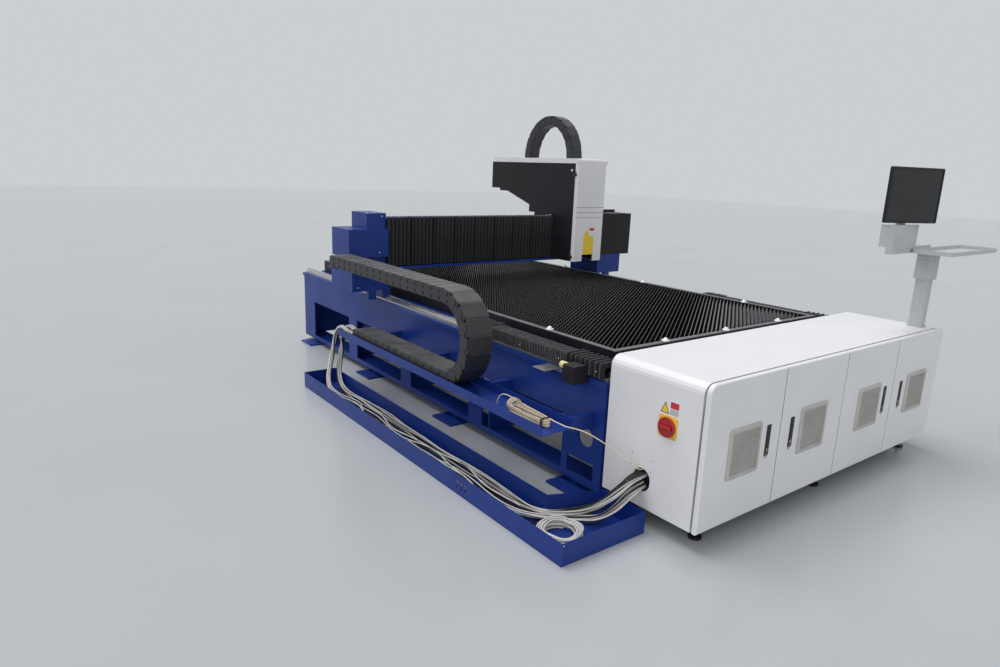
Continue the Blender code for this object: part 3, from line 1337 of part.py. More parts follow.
def bellows_wall(low, high, pleats):
    """The gantry cover's folds seen from above, with a flat back."""
    front = GANTRY_FRONT + CLEAR
    rear = front + BEAM_BELLOWS_THICKNESS
    step = (high - low) / (2 * pleats)
    outline = []
    for i in range(2 * pleats + 1):
        outline.append((low + i * step, front + (BEAM_BELLOWS_PLEAT if i % 2 else 0)))
    return outline + [(high, rear), (low, rear)]


def make_beam_bellows(materials):
    """Pleated covers over the beam's front, on both sides of the carriage."""
    left = HEAD_LEFT + CARRIAGE_INSET - CLEAR
    right = HEAD_LEFT + HEAD_WIDTH - CARRIAGE_INSET + CLEAR
    near = prism(bellows_wall(-LEG_INNER + CLEAR, left, BEAM_BELLOWS_LEFT_PLEATS), "Z",
                 BEAM_BELLOWS_BOTTOM, BEAM_BELLOWS_TOP)
    far = prism(bellows_wall(right, LEG_INNER - CLEAR, BEAM_BELLOWS_RIGHT_PLEATS), "Z",
                BEAM_BELLOWS_BOTTOM, BEAM_BELLOWS_TOP)
    piece("beam_bellows_left", near, materials["rubber"])
    piece("beam_bellows_right", far, materials["rubber"])


def make_drive(side, materials):
    """Servo motor with its gearbox, upright on a leg of the gantry, pinion below the flange."""
    x = side * DRIVE_X
    y = GANTRY_FRONT + DRIVE_SETBACK
    low = BEAM_BOTTOM + BEAM_LEDGE_HEIGHT + CLEAR
    top = low + GEARBOX_LENGTH
    name = "right" if side > 0 else "left"
    motor = piece(f"y_drive_{name}", rod("Z", (x, y), low, top, GEARBOX_RADIUS, MOTOR_SIDES),
                  materials["black"])
    half = MOTOR_SIZE / 2
    add(motor, prism(rounded(x - half, x + half, y - half, y + half, (MOTOR_SIZE / 8,) * 4, 1),
                     "Z", top - WELD_OVERLAP, top + MOTOR_LENGTH))
    return motor


def head_profile(inset, over):
    """The head housing's section along Y, bridging the beam; over runs past its open sides."""
    front = HEAD_FRONT + FRONT_COVER_DEPTH + CLEAR - over
    leg = HEAD_LEG_REAR + over
    low = HEAD_COVER_BOTTOM - over
    bridge = HEAD_BRIDGE_BOTTOM - over
    top = HEAD_COVER_TOP + over
    neck = HEAD_NECK_Y - inset if over else HEAD_NECK_Y
    return [(front, low), (leg, low), (leg, bridge), (neck, bridge),
            (neck, HEAD_NECK_Z + inset / 2), (HEAD_KNEE_Y - inset / 2, HEAD_STEP_Z + inset),
            (HEAD_STEP_Y - inset / 2, HEAD_STEP_Z + inset),
            (HEAD_STEP_Y + inset / 2, HEAD_OVERHANG_BOTTOM + inset),
            (HEAD_REAR - inset, HEAD_OVERHANG_BOTTOM + inset), (HEAD_REAR - inset, top), (front, top)]


def cover_hinge_heights():
    """The middle heights of the front cover's hinges."""
    span = HEAD_COVER_TOP - HEAD_COVER_BOTTOM
    return [HEAD_COVER_BOTTOM + share * span for share in COVER_HINGE_SHARES]


def cover_hinge_axis():
    """Where the front cover turns."""
    return HEAD_LEFT - COVER_HINGE_SIZE / 2 - WELD_OVERLAP, HEAD_FRONT + FRONT_COVER_DEPTH + CLEAR / 2


def cover_hinge_leaf(z, part):
    """Half a hinge: upper with its leaf on the housing, lower with its leaf on the cover."""
    x, y = cover_hinge_axis()
    radius = COVER_HINGE_SIZE / 2
    half = COVER_HINGE_HEIGHT / 2
    low, high = (z + CLEAR, z + half) if part == "housing" else (z - half, z - CLEAR)
    way = 1 if part == "housing" else -1
    near, far = sorted((y + way * CLEAR, y + way * COVER_HINGE_SIZE))
    barrel = rod("Z", (x, y), low, high, radius, HINGE_SIDES)
    leaf = block(x, HEAD_LEFT + HEAD_SHEET / 2, near, far, low, high)
    return barrel, leaf


def make_head_covers(materials):
    """Side housing, rounded top cover and hinged front cover of the cutting head."""
    right = HEAD_LEFT + HEAD_WIDTH
    housing = piece("head_side_cover", prism(head_profile(0, 0), "X", HEAD_LEFT, right),
                    materials["black"])
    cut(housing, prism(head_profile(HEAD_SHEET, OVERRUN), "X", HEAD_LEFT + HEAD_SHEET, right - HEAD_SHEET))
    for z in cover_hinge_heights():
        add(housing, *cover_hinge_leaf(z, "housing"))
    top_low = HEAD_COVER_TOP + CLEAR
    top_high = top_low + HEAD_TOP_HEIGHT
    radius = HEAD_TOP_ROUND
    outline = rounded(HEAD_FRONT, HEAD_REAR, top_low, top_high, (0, 0, radius, radius), 4)
    top = piece("head_top_cover", prism(outline, "X", HEAD_LEFT, right), materials["white"])
    sheet = HEAD_SHEET
    cut(top, prism(rounded(HEAD_FRONT + sheet, HEAD_REAR - sheet, top_low - OVERRUN, top_high - sheet,
                           (0, 0, radius - sheet, radius - sheet), 4),
                   "X", HEAD_LEFT + sheet, right - sheet))
    return housing, top, make_front_cover(materials)


def make_front_cover(materials):
    """White front pan with chamfered edges, three grooves and a notch over the nozzle."""
    right = HEAD_LEFT + HEAD_WIDTH
    back = HEAD_FRONT + FRONT_COVER_DEPTH
    bottom = HEAD_COVER_BOTTOM
    top = HEAD_COVER_TOP
    chamfer = FRONT_COVER_CHAMFER
    rings = []
    for y, inset in ((back, 0), (HEAD_FRONT + chamfer, 0), (HEAD_FRONT, chamfer)):
        rings.append([(HEAD_LEFT + inset, y, bottom), (right - inset, y, bottom),
                      (right - inset, y, top), (HEAD_LEFT + inset, y, top)])
    cover = piece("head_front_cover", loft(rings), materials["white"])
    sheet = HEAD_SHEET
    inner = []
    for y, inset in ((back + OVERRUN, sheet), (HEAD_FRONT + chamfer, sheet),
                     (HEAD_FRONT + sheet * 2, chamfer + sheet)):
        inner.append([(HEAD_LEFT + inset, y, bottom + sheet), (right - inset, y, bottom + sheet),
                      (right - inset, y, top - sheet), (HEAD_LEFT + inset, y, top - sheet)])
    cut(cover, loft(inner))
    middle = HEAD_LEFT + HEAD_WIDTH / 2
    notch = FRONT_COVER_NOTCH_WIDTH / 2
    cut(cover, block(middle - notch, middle + notch, HEAD_FRONT - OVERRUN, back + OVERRUN,
                     bottom - OVERRUN, bottom + FRONT_COVER_NOTCH_HEIGHT))
    grooves = []
    for share in FRONT_COVER_GROOVE_SHARES:
        z = bottom + share * (top - bottom)
        grooves.append(block(HEAD_LEFT - OVERRUN, right + OVERRUN, HEAD_FRONT - OVERRUN,
                             HEAD_FRONT + FRONT_COVER_GROOVE, z, z + FRONT_COVER_GROOVE))
    cut(cover, merged(grooves))
    for z in cover_hinge_heights():
        add(cover, *cover_hinge_leaf(z, "cover"))
    return cover


def make_carriage(materials):
    """Carriage plate on the beam's rails, with its Z rails and the arm over the beam."""
    middle = HEAD_LEFT + HEAD_WIDTH / 2
    left = HEAD_LEFT + CARRIAGE_INSET
    right = HEAD_LEFT + HEAD_WIDTH - CARRIAGE_INSET
    rail_face = GANTRY_FRONT + BEAM_SETBACK - BEAM_RAIL_DEPTH
    rear = rail_face - CLEAR
    front = rear - CARRIAGE_THICKNESS
    plate = piece("carriage_frame", block(left, right, front, rear, CARRIAGE_BOTTOM, CARRIAGE_TOP),
                  materials["blue"])
    flange_front = GANTRY_FRONT + CLEAR
    for low in (left, right - HEAD_SHEET):
        add(plate, block(low, low + HEAD_SHEET, flange_front, front + WELD_OVERLAP,
                         CARRIAGE_BOTTOM, BEAM_BELLOWS_TOP))
    for z in (BEAM_BOTTOM + BEAM_RAIL_INSET, BEAM_TOP - BEAM_RAIL_INSET):
        for way in (-1, 1):
            near = way * (BEAM_RAIL_WIDTH / 2 + CLEAR)
            far = way * (BEAM_RAIL_WIDTH / 2 + CARRIAGE_CHEEK)
            low, high = sorted((z + near, z + far))
            for x in (left + CARRIAGE_BLOCK_WIDTH / 2, right - CARRIAGE_BLOCK_WIDTH / 2):
                add(plate, block(x - CARRIAGE_BLOCK_WIDTH / 2, x + CARRIAGE_BLOCK_WIDTH / 2,
                                 rear - WELD_OVERLAP, rail_face + BEAM_RAIL_DEPTH - WELD_OVERLAP,
                                 low, high))
    for side in (-1, 1):
        x = middle + side * Z_RAIL_SPACING / 2
        add(plate, block(x - Z_RAIL_WIDTH / 2, x + Z_RAIL_WIDTH / 2, front - Z_RAIL_DEPTH,
                         front + WELD_OVERLAP, SLIDE_BOTTOM, CARRIAGE_TOP - HEAD_SHEET))
    inner = HEAD_LEFT + HEAD_SHEET + CLEAR
    outer = HEAD_LEFT + HEAD_WIDTH - HEAD_SHEET - CLEAR
    arm_low = CARRIAGE_TOP - CARRIAGE_ARM_HEIGHT
    add(plate, block(inner, outer, front + WELD_OVERLAP, rear - WELD_OVERLAP,
                     arm_low, CARRIAGE_TOP - WELD_OVERLAP))
    half = CARRIAGE_ARM_WIDTH / 2
    knee = HEAD_NECK_Y - HEAD_SHEET * 2
    add(plate, prism([(rear - WELD_OVERLAP, arm_low), (knee, arm_low), (HEAD_STEP_Y, CARRIAGE_ARM_END_Z),
                      (HEAD_STEP_Y, CARRIAGE_ARM_END_Z + CARRIAGE_ARM_HEIGHT),
                      (knee, arm_low + CARRIAGE_ARM_HEIGHT * 2), (rear - WELD_OVERLAP, CARRIAGE_TOP)],
                     "X", middle - half, middle + half))
    add(plate, block(inner, outer, HEAD_STEP_Y - CARRIAGE_ARM_HEIGHT, HEAD_STEP_Y,
                     CARRIAGE_ARM_END_Z + WELD_OVERLAP,
                     CARRIAGE_ARM_END_Z + CARRIAGE_ARM_HEIGHT - WELD_OVERLAP))
    return plate


def make_z_slide(materials):
    """Z slide plate, grooved round the Z rails."""
    middle = HEAD_LEFT + HEAD_WIDTH / 2
    carriage_front = GANTRY_FRONT + BEAM_SETBACK - BEAM_RAIL_DEPTH - CLEAR - CARRIAGE_THICKNESS
    face = carriage_front - Z_RAIL_DEPTH - CLEAR
    back = carriage_front - WELD_OVERLAP
    front = face - SLIDE_THICKNESS
    half = SLIDE_WIDTH / 2
    rail = Z_RAIL_WIDTH / 2 + CLEAR
    outline = [(middle - half, front), (middle + half, front), (middle + half, back)]
    for side in (1, -1):
        x = middle + side * Z_RAIL_SPACING / 2
        outline += [(x + rail, back), (x + rail, face), (x - rail, face), (x - rail, back)]
    outline.append((middle - half, back))
    return piece("z_slide", prism(outline, "Z", SLIDE_BOTTOM, SLIDE_TOP), materials["steel"])


def make_cutting_head(materials):
    """Laser cutting head: rectangular body, barrel, cone, nozzle and fibre coupling."""
    middle = HEAD_LEFT + HEAD_WIDTH / 2
    carriage_front = GANTRY_FRONT + BEAM_SETBACK - BEAM_RAIL_DEPTH - CLEAR - CARRIAGE_THICKNESS
    back = carriage_front - Z_RAIL_DEPTH - CLEAR - SLIDE_THICKNESS - CLEAR
    front = back - HEAD_BODY_DEPTH
    half = HEAD_BODY_WIDTH / 2
    y = (front + back) / 2
    chamfer = HEAD_BODY_WIDTH / 8
    head = piece("cutting_head",
                 prism(rounded(middle - half, middle + half, front, back,
                               (chamfer, chamfer, 0, 0), 1), "Z", HEAD_BODY_BOTTOM, HEAD_BODY_TOP),
                 materials["zinc"])
    cone_top = HEAD_NOZZLE_TIP + HEAD_CONE_HEIGHT
    profile = [(HEAD_NOZZLE_RADIUS, HEAD_NOZZLE_TIP), (HEAD_CONE_RADIUS, cone_top),
               (HEAD_CONE_RADIUS, cone_top + HEAD_CONE_HEIGHT / 2),
               (HEAD_BARREL_RADIUS, cone_top + HEAD_CONE_HEIGHT),
               (HEAD_BARREL_RADIUS, HEAD_BODY_BOTTOM + WELD_OVERLAP)]
    add(head, turned(middle, y, profile, HEAD_SIDES))
    fibre = [(HEAD_BARREL_RADIUS, HEAD_BODY_TOP - WELD_OVERLAP),
             (HEAD_BARREL_RADIUS, HEAD_BODY_TOP + HEAD_FIBRE_RADIUS),
             (HEAD_FIBRE_RADIUS, HEAD_BODY_TOP + HEAD_FIBRE_RADIUS * 2),
             (HEAD_FIBRE_RADIUS, HEAD_BODY_TOP + HEAD_FIBRE_HEIGHT)]
    add(head, turned(middle, y, fibre, HEAD_SIDES))
    return round_off(head)


def turned(x, y, profile, sides):
    """A solid turned about an upright axis from (radius, height) pairs."""
    rings = []
    for radius, z in profile:
        rings.append([(x + radius * math.cos(math.tau * k / sides),
                       y + radius * math.sin(math.tau * k / sides), z) for k in range(sides)])
    return loft(rings)


def band(centre_line, height):
    """A chain's side view from its centre line, with a shallow notch at each joint outside."""
    outer = []
    inner = []
    count = len(centre_line)
    for i, (u, v, du, dv) in enumerate(centre_line):
        length = math.hypot(du, dv)
        nu, nv = -dv / length, du / length
        half = height / 2
        outer.append((u + nu * half, v + nv * half))
        inner.append((u - nu * half, v - nv * half))
    notched = []
    for i in range(count):
        u, v, du, dv = centre_line[i]
        length = math.hypot(du, dv)
        tu, tv = du / length, dv / length
        nu, nv = -tv, tu
        if 0 < i < count - 1:
            half = CHAIN_JOINT / 2
            ou, ov = outer[i]
            notched.append((ou - tu * half, ov - tv * half))
            notched.append((ou - nu * CHAIN_JOINT_INSET, ov - nv * CHAIN_JOINT_INSET))
            notched.append((ou + tu * half, ov + tv * half))
        else:
            notched.append(outer[i])
    return notched + inner[::-1]


def straight_line(start, end, level, way):
    """A chain's straight run along Y: points with their direction."""
    links = max(1, round(abs(end - start) / CHAIN_LINK))
    return [(start + (end - start) * i / links, level, way, 0) for i in range(links + 1)]


def chain_levels():
    """The heights of the chain's lower and upper runs and of the loop's middle."""
    radius = CHAIN_BEND_RADIUS + CHAIN_HEIGHT / 2
    low = SHELF_FLOOR + CLEAR + CHAIN_HEIGHT / 2
    return low, low + 2 * radius, low + radius, radius


def make_y_chain(materials):
    """Drag chain beside the bed: run on the shelf, rolling loop, run to the gantry."""
    low, high, middle, radius = chain_levels()
    x = -HALF_LENGTH - SHELF_INNER - SHELF_WIDTH / 2
    sides = (x - CHAIN_WIDTH / 2, x + CHAIN_WIDTH / 2)
    lower = band(straight_line(CHAIN_FIXED_Y, CHAIN_LOOP_Y + CLEAR, low, -1), CHAIN_HEIGHT)
    piece("chain_lower", prism(lower, "X", *sides), materials["chain"])
    upper = band(straight_line(CHAIN_LOOP_Y + CLEAR, CHAIN_MOVING_Y, high, 1), CHAIN_HEIGHT)
    piece("chain_upper", prism(upper, "X", *sides), materials["chain"])
    arc = []
    links = round(math.pi * radius / CHAIN_LINK)
    for i in range(links + 1):
        angle = math.radians(270 - 180 * i / links)
        arc.append((CHAIN_LOOP_Y + radius * math.cos(angle), middle + radius * math.sin(angle),
                    math.sin(angle), -math.cos(angle)))
    piece("chain_loop", prism(band(arc, CHAIN_HEIGHT), "X", *sides), materials["chain"])


def make_head_chain(materials):
    """Arched drag chain on the head's top cover."""
    x = HEAD_LEFT + HEAD_WIDTH / 2
    base = HEAD_COVER_TOP + CLEAR + HEAD_TOP_HEIGHT + CLEAR
    spread = ARCH_SPREAD - ARCH_HEIGHT / 2
    rise = ARCH_RISE - ARCH_HEIGHT / 2
    line = []
    for i in range(ARCH_LINKS + 1):
        angle = math.pi * (1 - i / ARCH_LINKS)
        line.append((ARCH_CENTRE_Y + spread * math.cos(angle), base + rise * math.sin(angle),
                     spread * math.sin(angle), -rise * math.cos(angle)))
    outline = band(line, ARCH_HEIGHT)
    return piece("head_chain", prism(outline, "X", x - ARCH_WIDTH / 2, x + ARCH_WIDTH / 2),
                 materials["chain"])


def square_ring(x, y, z, width, radius):
    """A level ring with round corners."""
    half = width / 2
    return [(px, py, z) for px, py in rounded(x - half, x + half, y - half, y + half,
                                              (radius,) * 4, 3)]


def make_monitor_stand(materials):
    """Column on the cabinet, turning sleeve with its bracket, and keyboard tray."""
    low = CABINET_TOP + CLEAR
    column = piece("monitor_column", loft([square_ring(MAST_X, MAST_Y, z, MAST_BASE, MAST_ROUND)
                                           for z in (low, low + MAST_BASE_THICKNESS)]),
                   materials["stand"])
    add(column, loft([square_ring(MAST_X, MAST_Y, z, MAST_WIDTH, MAST_ROUND)
                      for z in (low + MAST_BASE_THICKNESS / 2, MAST_SPLIT)]))
    rings = [square_ring(MAST_X, MAST_Y, MAST_SPLIT + CLEAR, SLEEVE_WIDTH, SLEEVE_ROUND)]
    groove = SLEEVE_GROOVE
    for share in SLEEVE_GROOVE_SHARES:
        z = MAST_SPLIT + share * (SLEEVE_TOP - MAST_SPLIT)
        for rise, width in ((0, SLEEVE_WIDTH), (groove / 4, SLEEVE_WIDTH - groove),
                            (groove * 3 / 4, SLEEVE_WIDTH - groove), (groove, SLEEVE_WIDTH)):
            rings.append(square_ring(MAST_X, MAST_Y, z + rise, width, SLEEVE_ROUND))
    rings.append(square_ring(MAST_X, MAST_Y, SLEEVE_TOP, SLEEVE_WIDTH, SLEEVE_ROUND))
    sleeve = piece("monitor_bracket", loft(rings), materials["stand"])
    add(sleeve, block(BRACKET_LEFT, MAST_X + SLEEVE_WIDTH / 2 - SLEEVE_ROUND, BRACKET_FRONT,
                      BRACKET_FRONT + BRACKET_SHELF_DEPTH, SLEEVE_TOP - WELD_OVERLAP,
                      BRACKET_BOTTOM + WELD_OVERLAP))
    add(sleeve, block(BRACKET_LEFT, BRACKET_RIGHT, BRACKET_FRONT, BRACKET_FRONT + BRACKET_DEPTH,
                      BRACKET_BOTTOM, BRACKET_TOP))
    sheet = BRACKET_SHEET
    cut(sleeve, block(BRACKET_LEFT + sheet, BRACKET_RIGHT - sheet, BRACKET_FRONT + sheet,
                      BRACKET_FRONT + BRACKET_DEPTH + OVERRUN, BRACKET_BOTTOM + sheet,
                      BRACKET_TOP - sheet))
    add(sleeve, *monitor_upright())
    tray = piece("keyboard_tray",
                 prism(rounded(TRAY_LEFT, TRAY_RIGHT, TRAY_FRONT, TRAY_REAR, (TRAY_ROUND,) * 4, 3),
                       "Z", SLEEVE_TOP + CLEAR, SLEEVE_TOP + CLEAR + TRAY_THICKNESS),
                 materials["stand"])
    cut(tray, prism(rounded(TRAY_LEFT + TRAY_SHEET, TRAY_RIGHT - TRAY_SHEET, TRAY_FRONT + TRAY_SHEET,
                            TRAY_REAR - TRAY_SHEET, (TRAY_ROUND - TRAY_SHEET,) * 4, 3),
                    "Z", SLEEVE_TOP + CLEAR + TRAY_SHEET, SLEEVE_TOP + TRAY_THICKNESS + OVERRUN))
    return column, sleeve, tray


def screen_turn(bm):
    """Turn a solid drawn round the screen's middle to its place."""
    turn = Matrix.Rotation(math.radians(SCREEN_TURN_DEGREES), 4, "Z")
    bmesh.ops.transform(bm, matrix=Matrix.Translation((SCREEN_X, SCREEN_Y, SCREEN_Z)) @ turn,
                        verts=bm.verts)
    return bm


def monitor_upright():
    """The bracket's upright with the tilt barrel at its top."""
    half = SCREEN_NECK_WIDTH / 2
    thick = SCREEN_NECK_THICKNESS / 2
    foot = BRACKET_TOP - SCREEN_Z - WELD_OVERLAP
    upright = block(-half, half, SCREEN_AXIS - thick, SCREEN_AXIS + thick, foot, 0)
    barrel = rod("X", (SCREEN_AXIS, 0), -half, half, SCREEN_BARREL, HINGE_SIDES)
    return screen_turn(upright), screen_turn(barrel)


def make_monitor(materials):
    """Flat monitor with a recessed screen, a back pod and two tilt lugs."""
    half_w = SCREEN_WIDTH / 2
    half_h = SCREEN_HEIGHT / 2
    half_t = SCREEN_THICKNESS / 2
    rings = []
    for v, inset in ((-half_t, SCREEN_RECESS), (-half_t + SCREEN_RECESS, 0), (half_t, 0)):
        rings.append([(u, v, w) for u, w in rounded(-half_w + inset, half_w - inset,
                                                    -half_h + inset, half_h - inset,
                                                    (SCREEN_BEZEL / 2,) * 4, 2)])
    monitor = piece("monitor", screen_turn(loft(rings)), materials["dark_plastic"])
    cut(monitor, screen_turn(block(-half_w + SCREEN_BEZEL, half_w - SCREEN_BEZEL, -half_t - OVERRUN,
                                   -half_t + SCREEN_RECESS, -half_h + SCREEN_BEZEL,
                                   half_h - SCREEN_BEZEL)))
    pod_w = half_w * SCREEN_BACK_SHARE
    pod_h = half_h * SCREEN_BACK_SHARE
    pod = half_t + SCREEN_BACK_DEPTH
    add(monitor, screen_turn(block(-pod_w, pod_w, half_t - WELD_OVERLAP, pod, -pod_h, pod_h)))
    inner = SCREEN_NECK_WIDTH / 2 + CLEAR
    for side in (-1, 1):
        low, high = sorted((side * inner, side * (inner + SCREEN_NECK_THICKNESS)))
        add(monitor, screen_turn(block(low, high, pod - WELD_OVERLAP, SCREEN_AXIS + SCREEN_BARREL,
                                       -SCREEN_BARREL, SCREEN_BARREL)))
    return monitor


def smooth_route(points, spacing):
    """Points at even steps along a smooth curve through the given ones."""
    fine = []
    ends = [points[0]] + points + [points[-1]]
    for a, b, c, d in zip(ends, ends[1:], ends[2:], ends[3:]):
        for i in range(ROUTE_STEPS):
            t = i / ROUTE_STEPS
            fine.append(Vector([0.5 * (2 * q + (r - p) * t + (2 * p - 5 * q + 4 * r - s) * t * t
                                       + (3 * q - p - 3 * r + s) * t ** 3)
                                for p, q, r, s in zip(a, b, c, d)]))
    fine.append(Vector(points[-1]))
    lowest = min(point[2] for point in points)
    for point in fine:
        point.z = max(point.z, lowest)
    travelled = [0.0]
    for a, b in zip(fine, fine[1:]):
        travelled.append(travelled[-1] + (b - a).length)
    count = max(2, round(travelled[-1] / spacing))
    route = []
    k = 0
    for i in range(count + 1):
        target = travelled[-1] * i / count
        while k < len(fine) - 2 and travelled[k + 1] < target:
            k += 1
        share = (target - travelled[k]) / max(travelled[k + 1] - travelled[k], CLEAR * CLEAR)
        route.append(fine[k].lerp(fine[k + 1], min(1.0, share)))
    return route


def make_tube(name, points, diameter, material):
    """A cable as a plain round tube along its route."""
    route = smooth_route(points, max(CABLE_STEP, diameter * CABLE_SPACING))
    curve = bpy.data.curves.new(name, "CURVE")
    curve.dimensions = "3D"
    curve.bevel_depth = diameter / 2
    curve.bevel_resolution = CABLE_SIDES_RESOLUTION
    curve.use_fill_caps = True
    spline = curve.splines.new("POLY")
    spline.points.add(len(route) - 1)
    for target, point in zip(spline.points, route):
        target.co = (*point, 1.0)
    obj = bpy.data.objects.new(name, curve)
    bpy.context.scene.collection.objects.link(obj)
    curve.materials.append(material)
    return obj


def bundle_route(shares, side, hole_z, diameter):
    """From the cabinet hole down into the trough, along it, and up to the chain's fixed end."""
    floor = TROUGH_SHEET + CLEAR + diameter / 2
    shelf = SHELF_FLOOR + CLEAR + diameter / 2
    route = [(-HALF_LENGTH + WAY_THICKNESS, HOLE_Y, hole_z)]
    for out, along, up in shares:
        route.append((-HALF_LENGTH - out * TROUGH_OUTER, HOLE_Y + along * TROUGH_OUTER,
                      floor + up * (hole_z - floor)))
    lane = route[-1][0]
    start = route[-1][1]
    rear = SHELF_FRONT + SHELF_LENGTH
    chain = -HALF_LENGTH - SHELF_INNER - SHELF_WIDTH / 2 + side * CHAIN_ENTRY_SHARE * CHAIN_WIDTH
    for share in (1 / 3, 2 / 3):
        route.append((lane, start + share * (rear - start), floor))
    for across, along, up in RISE_ROUTE_SHARES:
        route.append((lane + across * (chain - lane), rear + along * BUNDLE_TURN,
                      floor + up * (shelf - floor)))
    route.append((chain, CHAIN_FIXED_Y + CLEAR, shelf))
    return route


def make_cables(materials):
    """Cable bundles, the coil in the trough, and the hank on the shelf with its lead."""
    make_tube("cable_bundle_black",
              bundle_route(BLACK_ROUTE_SHARES, 1, HOLE_Z + BUNDLE_RISE, BUNDLE_DIAMETER),
              BUNDLE_DIAMETER, materials["cable"])
    make_tube("cable_bundle_grey",
              bundle_route(GREY_ROUTE_SHARES, -1, HOLE_Z - BUNDLE_RISE, GREY_BUNDLE_DIAMETER),
              GREY_BUNDLE_DIAMETER, materials["grey_cable"])
    x = -HALF_LENGTH - TROUGH_OUTER + COIL_WALL_DISTANCE
    y = TROUGH_FRONT + COIL_END_DISTANCE
    low = TROUGH_SHEET + CLEAR
    radius = COIL_THICKNESS / 2
    coil = bmesh.new()
    rings = []
    for i in range(COIL_SIDES):
        angle = math.tau * i / COIL_SIDES
        ring = []
        for k in range(COIL_SECTION):
            turn = math.tau * k / COIL_SECTION
            reach = COIL_RADIUS - radius + radius * math.cos(turn)
            ring.append(coil.verts.new((x + reach * math.cos(angle), y + reach * math.sin(angle),
                                        low + radius + radius * math.sin(turn))))
        rings.append(ring)
    for i in range(COIL_SIDES):
        near, far = rings[i], rings[(i + 1) % COIL_SIDES]
        for k in range(COIL_SECTION):
            n = (k + 1) % COIL_SECTION
            coil.faces.new((near[k], near[n], far[n], far[k]))
    bmesh.ops.recalc_face_normals(coil, faces=coil.faces)
    round_off(piece("trough_coil", coil, materials["grey_cable"]))
    make_hank(materials)


def hank_middle():
    """The hank's middle on the chain shelf."""
    return (-HALF_LENGTH - SHELF_INNER - SHELF_WIDTH / 2 + HANK_INSET,
            SHELF_FRONT + HANK_END_DISTANCE + HANK_LENGTH / 2)


def make_hank(materials):
    """Flat hank of cable on the shelf and its lead to the cabinet hole."""
    x, y = hank_middle()
    low = SHELF_FLOOR + CLEAR
    half_w = HANK_WIDTH / 2
    half_l = HANK_LENGTH / 2
    outline = rounded(x - half_w, x + half_w, y - half_l, y + half_l, (half_w,) * 4, 5)
    piece("shelf_hank", prism(outline, "Z", low, low + HANK_HEIGHT), materials["cream_cable"])
    end = y - half_l
    radius = LEAD_DIAMETER / 2
    face = -HALF_LENGTH
    hole = HOLE_Z + HOLE_HEIGHT / 2 - radius - LEAD_DIAMETER
    top = low + HANK_HEIGHT / 2
    route = [(x, end - 3 * CLEAR, top), (x, end - LEAD_DIAMETER * 2, top)]
    for across, along, down in LEAD_ROUTE_SHARES:
        route.append((x + across * (face - x), end - along * (end - HOLE_Y),
                      top - down * (top - hole)))
    route.append((face + WAY_THICKNESS, HOLE_Y, hole))
    make_tube("shelf_lead", route, LEAD_DIAMETER, materials["cream_cable"])


def place_origins():
    """Move each turning piece's origin onto its joint axis."""
    x, y = cover_hinge_axis()
    pivots = {"head_front_cover": (x, y, HEAD_COVER_BOTTOM), "monitor": tilt_point(),
              "switch_knob": (-HALF_LENGTH, SWITCH_Y, SWITCH_Z)}
    for name in ("monitor_bracket", "keyboard_tray"):
        pivots[name] = (MAST_X, MAST_Y, MAST_SPLIT)
    for index, (x, _) in enumerate(hinge_places()):
        pivots[f"door_{index + 1}"] = (x, HINGE_Y, CABINET_FLOOR_GAP)
        pivots[f"filter_{index + 1}"] = (x, HINGE_Y, CABINET_FLOOR_GAP)
        pivots[f"lock_{index + 1}"] = (lock_x(index), DOOR_FRONT + LOCK_PIVOT_DEPTH, lock_pivot_z())
    for name, pivot in pivots.items():
        obj = bpy.data.objects[name]
        obj.data.transform(Matrix.Translation([-value for value in pivot]))
        obj.location = pivot


def tilt_point():
    """The middle of the monitor's tilt axis."""
    turn = math.radians(SCREEN_TURN_DEGREES)
    return (SCREEN_X - SCREEN_AXIS * math.sin(turn), SCREEN_Y + SCREEN_AXIS * math.cos(turn), SCREEN_Z)


def main():
    """Build the machine."""
    clear_scene()
    materials = make_materials()
    make_cabinet_shell(materials)
    make_cabinet_base(materials)
    for index in range(DOOR_COUNT):
        make_door(index, materials)
        make_filter(index, materials)
        make_lock(index, materials)
    make_switch(materials)
    make_cabinet_fittings(materials)
    make_bed_frame(materials)
    make_slat_table(materials)
    make_table_border(materials)
    for side in (-1, 1):
        make_rail_way(side, materials)
        make_bellows(side, materials)
        make_stop(side, materials)
        make_drive(side, materials)
    make_limit_plate(materials)
    make_chain_shelf(materials)
    make_cable_trough(materials)
    make_gantry_frame(materials)
    make_end_covers(materials)
    make_beam_bellows(materials)
    make_carriage(materials)
    make_head_covers(materials)
    make_z_slide(materials)
    make_cutting_head(materials)
    make_y_chain(materials)
    make_head_chain(materials)
    make_monitor_stand(materials)
    make_monitor(materials)
    make_cables(materials)
    place_origins()


main()
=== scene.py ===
"""Looks of a fiber laser cutting machine: finishes, slats, bellows, drag chains and cables.

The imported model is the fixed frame. Lengths are in metres, +Y runs from the cabinet over the bed.
"""

import math
import random

import bmesh
import bpy
from bpy.props import FloatProperty, FloatVectorProperty, IntProperty, PointerProperty
from mathutils import Matrix, Vector


